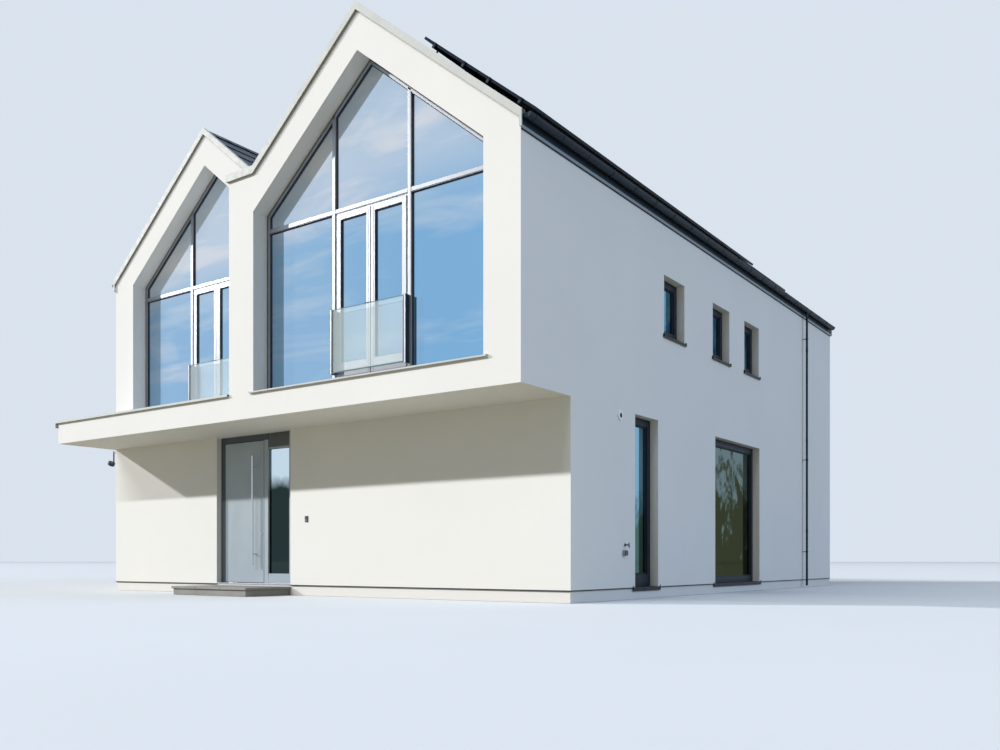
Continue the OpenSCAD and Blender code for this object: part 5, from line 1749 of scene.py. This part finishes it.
class HOUSE_OT_fittings(bpy.types.Operator):
    """Models the vent, the outdoor socket, the tap, the doorbell and the side lamp"""

    bl_idname = "house.fittings"
    bl_label = "Small fittings"
    bl_options = {"REGISTER", "UNDO"}

    def execute(self, context):
        self.vent()
        self.socket()
        self.tap()
        self.bell()
        self.lamp()
        return {"FINISHED"}

    @staticmethod
    def vent():
        low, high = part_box("wall_vent")
        mid = (low + high) / 2
        r = (high.z - low.z) / 2
        ring = drum("vent_ring", (RIGHT + 0.011, mid.y, mid.z), r - 0.001, 0.021, "X", 48)
        inset(ring, facing(x=1), 0.032, (-0.014, 0, 0), extrude=True)
        ride(soften(ring, 0.0025), "wall_vent", slot="white_plastic", dress="white_plastic")
        inner = r - 0.034
        back = drum("vent_back", (RIGHT + 0.0085, mid.y, mid.z), inner, 0.002, "X", 40)
        slats = [soften(back, 0.0004, 1)]
        for i in range(-2, 3):
            z = mid.z + i * 0.012
            half = math.sqrt(inner ** 2 - (i * 0.012) ** 2)
            path = [(RIGHT + 0.010, z + 0.004), (RIGHT + 0.018, z - 0.004)]
            slats.append(folded("vent_slat", path, (mid.y - half, mid.y + half), 0.0016))
        ride(join("vent_slats", slats), slot="white_plastic", dress="black_plastic")

    @staticmethod
    def socket():
        low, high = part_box("wall_socket")
        mid = (low + high) / 2
        case = block("socket_case", (low.x, low.y, low.z), (low.x + 0.036, high.y, high.z))
        start = (low.x + 0.0375, low.y + 0.004, low.z + 0.006)
        lid = block("socket_lid", start, (high.x - 0.002, high.y - 0.004, high.z - 0.010))
        inset(lid, facing(x=1), 0.009, (-0.003, 0, 0))
        hinge = drum("socket_hinge", (low.x + 0.040, mid.y, high.z - 0.006), 0.0045, 0.062, "Y", 20)
        start = (low.x + 0.040, mid.y - 0.010, low.z + 0.0005)
        tab = block("socket_tab", start, (high.x - 0.004, mid.y + 0.010, low.z + 0.008))
        cover = [soften(lid, 0.005, 3), soften(hinge, 0.001, 1), soften(tab, 0.0015)]
        ride(soften(case, 0.006, 3), "wall_socket", slot="white_plastic", dress="pale_plastic")
        ride(join("socket_cover", cover), slot="white_plastic", dress="grey_plastic")

    @staticmethod
    def tap():
        low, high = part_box("garden_tap")
        y = (low.y + high.y) / 2
        z = low.z + 0.042
        parts = [
            rod("tap_rose", (RIGHT + 0.003, y, z), 0.0255, 0.006, "X", 40, 0.002),
            rod("tap_body", (RIGHT + 0.030, y, z), 0.0105, 0.056, "X", 32, 0.002),
            rod("tap_nut", (RIGHT + 0.034, y, z), 0.0108, 0.016, "X", 6, 0.001, 1),
            rod("tap_neck", (high.x - 0.0135, y, z - 0.018), 0.0085, 0.046, "Z", 32, 0.002),
            rod("tap_spout", (high.x - 0.0135, y, z - 0.036), 0.0092, 0.011, "Z", 32, 0.0012),
            rod("tap_spindle", (high.x - 0.0135, y, z + 0.012), 0.0062, 0.024, "Z", 24, 0.001, 1),
        ]
        handle = block("tap_handle", (high.x - 0.037, y - 0.004, z + 0.0222), (high.x, y + 0.004, z + 0.0278))
        parts.append(soften(handle, 0.0022, 3))
        ride(join("tap_set", parts), "garden_tap", slot="brass", dress="brass")

    @staticmethod
    def bell():
        low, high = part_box("doorbell")
        mid = (low + high) / 2
        plate = block("bell_plate", (low.x, high.y - 0.013, low.z), (high.x, high.y, high.z))
        inset(plate, facing(y=-1), 0.006, (0, 0.0015, 0))
        ride(soften(plate, 0.003, 3), slot="bell", dress="black_plastic")
        z = mid.z - (high.z - low.z) / 5
        button = drum("bell_button", (mid.x, high.y - 0.015, z), 0.0125, 0.008, "Y", 40)
        inset(button, facing(y=-1), 0.004, (0, 0.0012, 0))
        ride(soften(button, 0.0012), "doorbell", slot="bell", dress="stainless")
        eye = rod("bell_eye", (mid.x, high.y - 0.0135, mid.z + 0.022), 0.008, 0.003, "Y", 32, 0.0008, 1)
        ride(eye, slot="bell", dress="lens")

    @staticmethod
    def lamp():
        low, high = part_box("side_lamp")
        y = (low.y + high.y) / 2
        top, x = high.z, LEFT - 0.155
        start, end = (LEFT - 0.019, y - 0.0395, top - 0.0895), (LEFT, y + 0.0395, top - 0.0005)
        plate = bar("lamp_plate", start, end, 0.004, 3)
        arm = rod("lamp_arm", ((LEFT + x) / 2, y, top - 0.030), 0.0125, 0.155, "X", 28, 0.002)
        rose = rod("lamp_rose", (LEFT - 0.022, y, top - 0.030), 0.021, 0.008, "X", 32, 0.002)
        stem = rod("lamp_stem", (x, y, top - 0.139), 0.0128, 0.276, "Z", 28, 0.003)
        ring = rod("lamp_ring", (x, y, top - 0.246), 0.0150, 0.022, "Z", 32, 0.002)
        centre = Vector((x - 0.085, y, top - 0.246))
        head = drum("lamp_head", (0, 0, 0.002), 0.0675, 0.062, "Z", 56)
        inset(head, facing(z=-1), 0.006, (0, 0, 0.010), extrude=True)
        inset(head, facing(z=1), 0.016, (0, 0, 0.002))
        soften(head, 0.003)
        fins = []
        for i in range(3):
            fins.append(rod("lamp_fin", (0, 0, 0.006 + i * 0.009), 0.0680, 0.004, "Z", 56, 0.0008, 1))
        tilt = Matrix.Translation(centre) @ Matrix.Rotation(math.radians(34), 4, "Y")
        head = placed(join("lamp_head", [head, *fins]), tilt)
        lamp = join("wall_lamp", [plate, arm, rose, stem, ring, head])
        ride(lamp, "side_lamp", slot="bell", dress="black_plastic")
        lens = placed(rod("lamp_lens", (0, 0, -0.022), 0.0620, 0.004, "Z", 56, 0.001, 1), tilt)
        ride(lens, slot="bell", dress="lens")


# Stage


class HOUSE_OT_stage(bpy.types.Operator):
    """Sets the floor, the backdrop light, the lamps and the camera"""

    bl_idname = "house.stage"
    bl_label = "Stage"
    bl_options = {"REGISTER", "UNDO"}

    def execute(self, context):
        scene = bpy.context.scene
        deselect()
        bpy.ops.mesh.primitive_plane_add(size=4000, location=(0, 0, -0.003))
        floor = named("stage_floor")
        f = Finish(Roughness=0.9)
        f.material.name = "stage_floor_finish"
        f.colour(f.ramp(f.noise(0.2, 2, 0.5), (0.66, 0.69, 0.72), (0.68, 0.71, 0.74)))
        warm = f.node("ShaderNodeBsdfDiffuse")
        warm.inputs["Color"].default_value = (0.34, 0.31, 0.22, 1)
        end = next(n for n in f.nodes if n.type == "OUTPUT_MATERIAL")
        self.seen_or_lit(f.nodes, f.links, warm.outputs[0], f.shader.outputs[0], end.inputs[0])
        floor.data.materials.append(f.material)

        camera = self.added("camera", bpy.data.cameras.new("camera"))
        camera.location = (11.828, -16.85, 0.566)
        camera.rotation_euler = (math.pi / 2, 0, math.radians(35.351))
        camera.data.lens = 33.711
        camera.data.sensor_width = 36
        camera.data.shift_y = 0.1866
        camera.data.clip_end = 3000
        scene.camera = camera

        world = bpy.data.worlds.new("studio")
        scene.world = world
        world.use_nodes = True
        nodes, links = world.node_tree.nodes, world.node_tree.links
        back = next(n for n in nodes if n.type == "BACKGROUND")
        seen = nodes.new("ShaderNodeBackground")
        seen.inputs["Color"].default_value = (0.70, 0.77, 0.85, 1)
        seen.inputs["Strength"].default_value = 1.0
        back.inputs["Color"].default_value = (0.86, 0.93, 1.0, 1)
        back.inputs["Strength"].default_value = 0.38
        end = next(n for n in nodes if n.type == "OUTPUT_WORLD")
        self.seen_or_lit(nodes, links, back.outputs[0], seen.outputs[0], end.inputs[0])

        sun = self.added("key", bpy.data.lights.new("key", "SUN"))
        sun.data.energy = 2.6
        sun.data.angle = math.radians(1.5)
        sun.data.color = (1.0, 0.98, 0.955)
        sun.rotation_euler = Vector((-2.27, -1.2, 1.0475)).to_track_quat("Z", "Y").to_euler()
        front = self.added("front", bpy.data.lights.new("front", "AREA"))
        front.data.shape, front.data.size, front.data.size_y = "RECTANGLE", 600, 20
        front.data.energy = 3.3e6
        front.data.color = (0.97, 0.98, 1.0)
        front.location = (-200, BAY - 528, 464)
        front.rotation_euler = (math.atan2(52.8, 46.1), 0, 0)
        front.visible_glossy = False
        fill = self.added("fill", bpy.data.lights.new("fill", "SUN"))
        fill.data.energy = 1.15
        fill.data.angle = math.radians(35)
        fill.data.color = (0.42, 0.63, 1.0)
        fill.visible_glossy = False
        fill.rotation_euler = Vector((1.0, 0.32, 0.45)).to_track_quat("Z", "Y").to_euler()
        scene.view_settings.view_transform = "Standard"
        return {"FINISHED"}

    @staticmethod
    def added(name, data):
        """Puts a camera or a lamp into the scene."""
        item = bpy.data.objects.new(name, data)
        bpy.context.scene.collection.objects.link(item)
        return item

    @staticmethod
    def seen_or_lit(nodes, links, lit, seen, end):
        """Shows one shader to the camera and in reflections, and lights the house with the other."""
        rays = nodes.new("ShaderNodeLightPath")
        total = rays.outputs["Is Camera Ray"]
        for name in ("Is Glossy Ray", "Is Transmission Ray"):
            larger = nodes.new("ShaderNodeMath")
            larger.operation = "MAXIMUM"
            links.new(total, larger.inputs[0])
            links.new(rays.outputs[name], larger.inputs[1])
            total = larger.outputs[0]
        mix = nodes.new("ShaderNodeMixShader")
        for source, socket in zip((total, lit, seen), mix.inputs):
            links.new(source, socket)
        links.new(mix.outputs[0], end)


class HOUSE_PT_panel(bpy.types.Panel):
    """Sizes, colours and tools of the house"""

    bl_label = "House"
    bl_idname = "HOUSE_PT_panel"
    bl_space_type = "VIEW_3D"
    bl_region_type = "UI"
    bl_category = "House"

    def draw(self, context):
        for group in (context.scene.house_sizes, context.scene.house_colours):
            box = self.layout.box()
            for key in group.__annotations__:
                box.prop(group, key)
        for tool in TOOLS:
            self.layout.operator(tool.bl_idname)


TOOLS = (
    HOUSE_OT_walls, HOUSE_OT_landing, HOUSE_OT_roof_tiles, HOUSE_OT_ridge_tiles, HOUSE_OT_valley,
    HOUSE_OT_verges, HOUSE_OT_canopy, HOUSE_OT_gable_glazing, HOUSE_OT_balustrades, HOUSE_OT_windows,
    HOUSE_OT_sills, HOUSE_OT_entrance, HOUSE_OT_gutters, HOUSE_OT_downpipes, HOUSE_OT_fascias,
    HOUSE_OT_solar_array, HOUSE_OT_fittings, HOUSE_OT_stage,
)
CLASSES = (HouseSizes, HouseColours, *TOOLS, HOUSE_PT_panel)


def register():
    for kind in CLASSES:
        bpy.utils.register_class(kind)
    bpy.types.Scene.house_sizes = PointerProperty(type=HouseSizes)
    bpy.types.Scene.house_colours = PointerProperty(type=HouseColours)


def unregister():
    del bpy.types.Scene.house_colours
    del bpy.types.Scene.house_sizes
    for kind in reversed(CLASSES):
        bpy.utils.unregister_class(kind)


def main():
    """Runs every tool in order."""
    register()
    for tool in TOOLS:
        group, name = tool.bl_idname.split(".")
        if getattr(getattr(bpy.ops, group), name)() != {"FINISHED"}:
            raise RuntimeError(f"{tool.bl_label} did not finish")
    deselect()


if __name__ == "__main__":
    main()
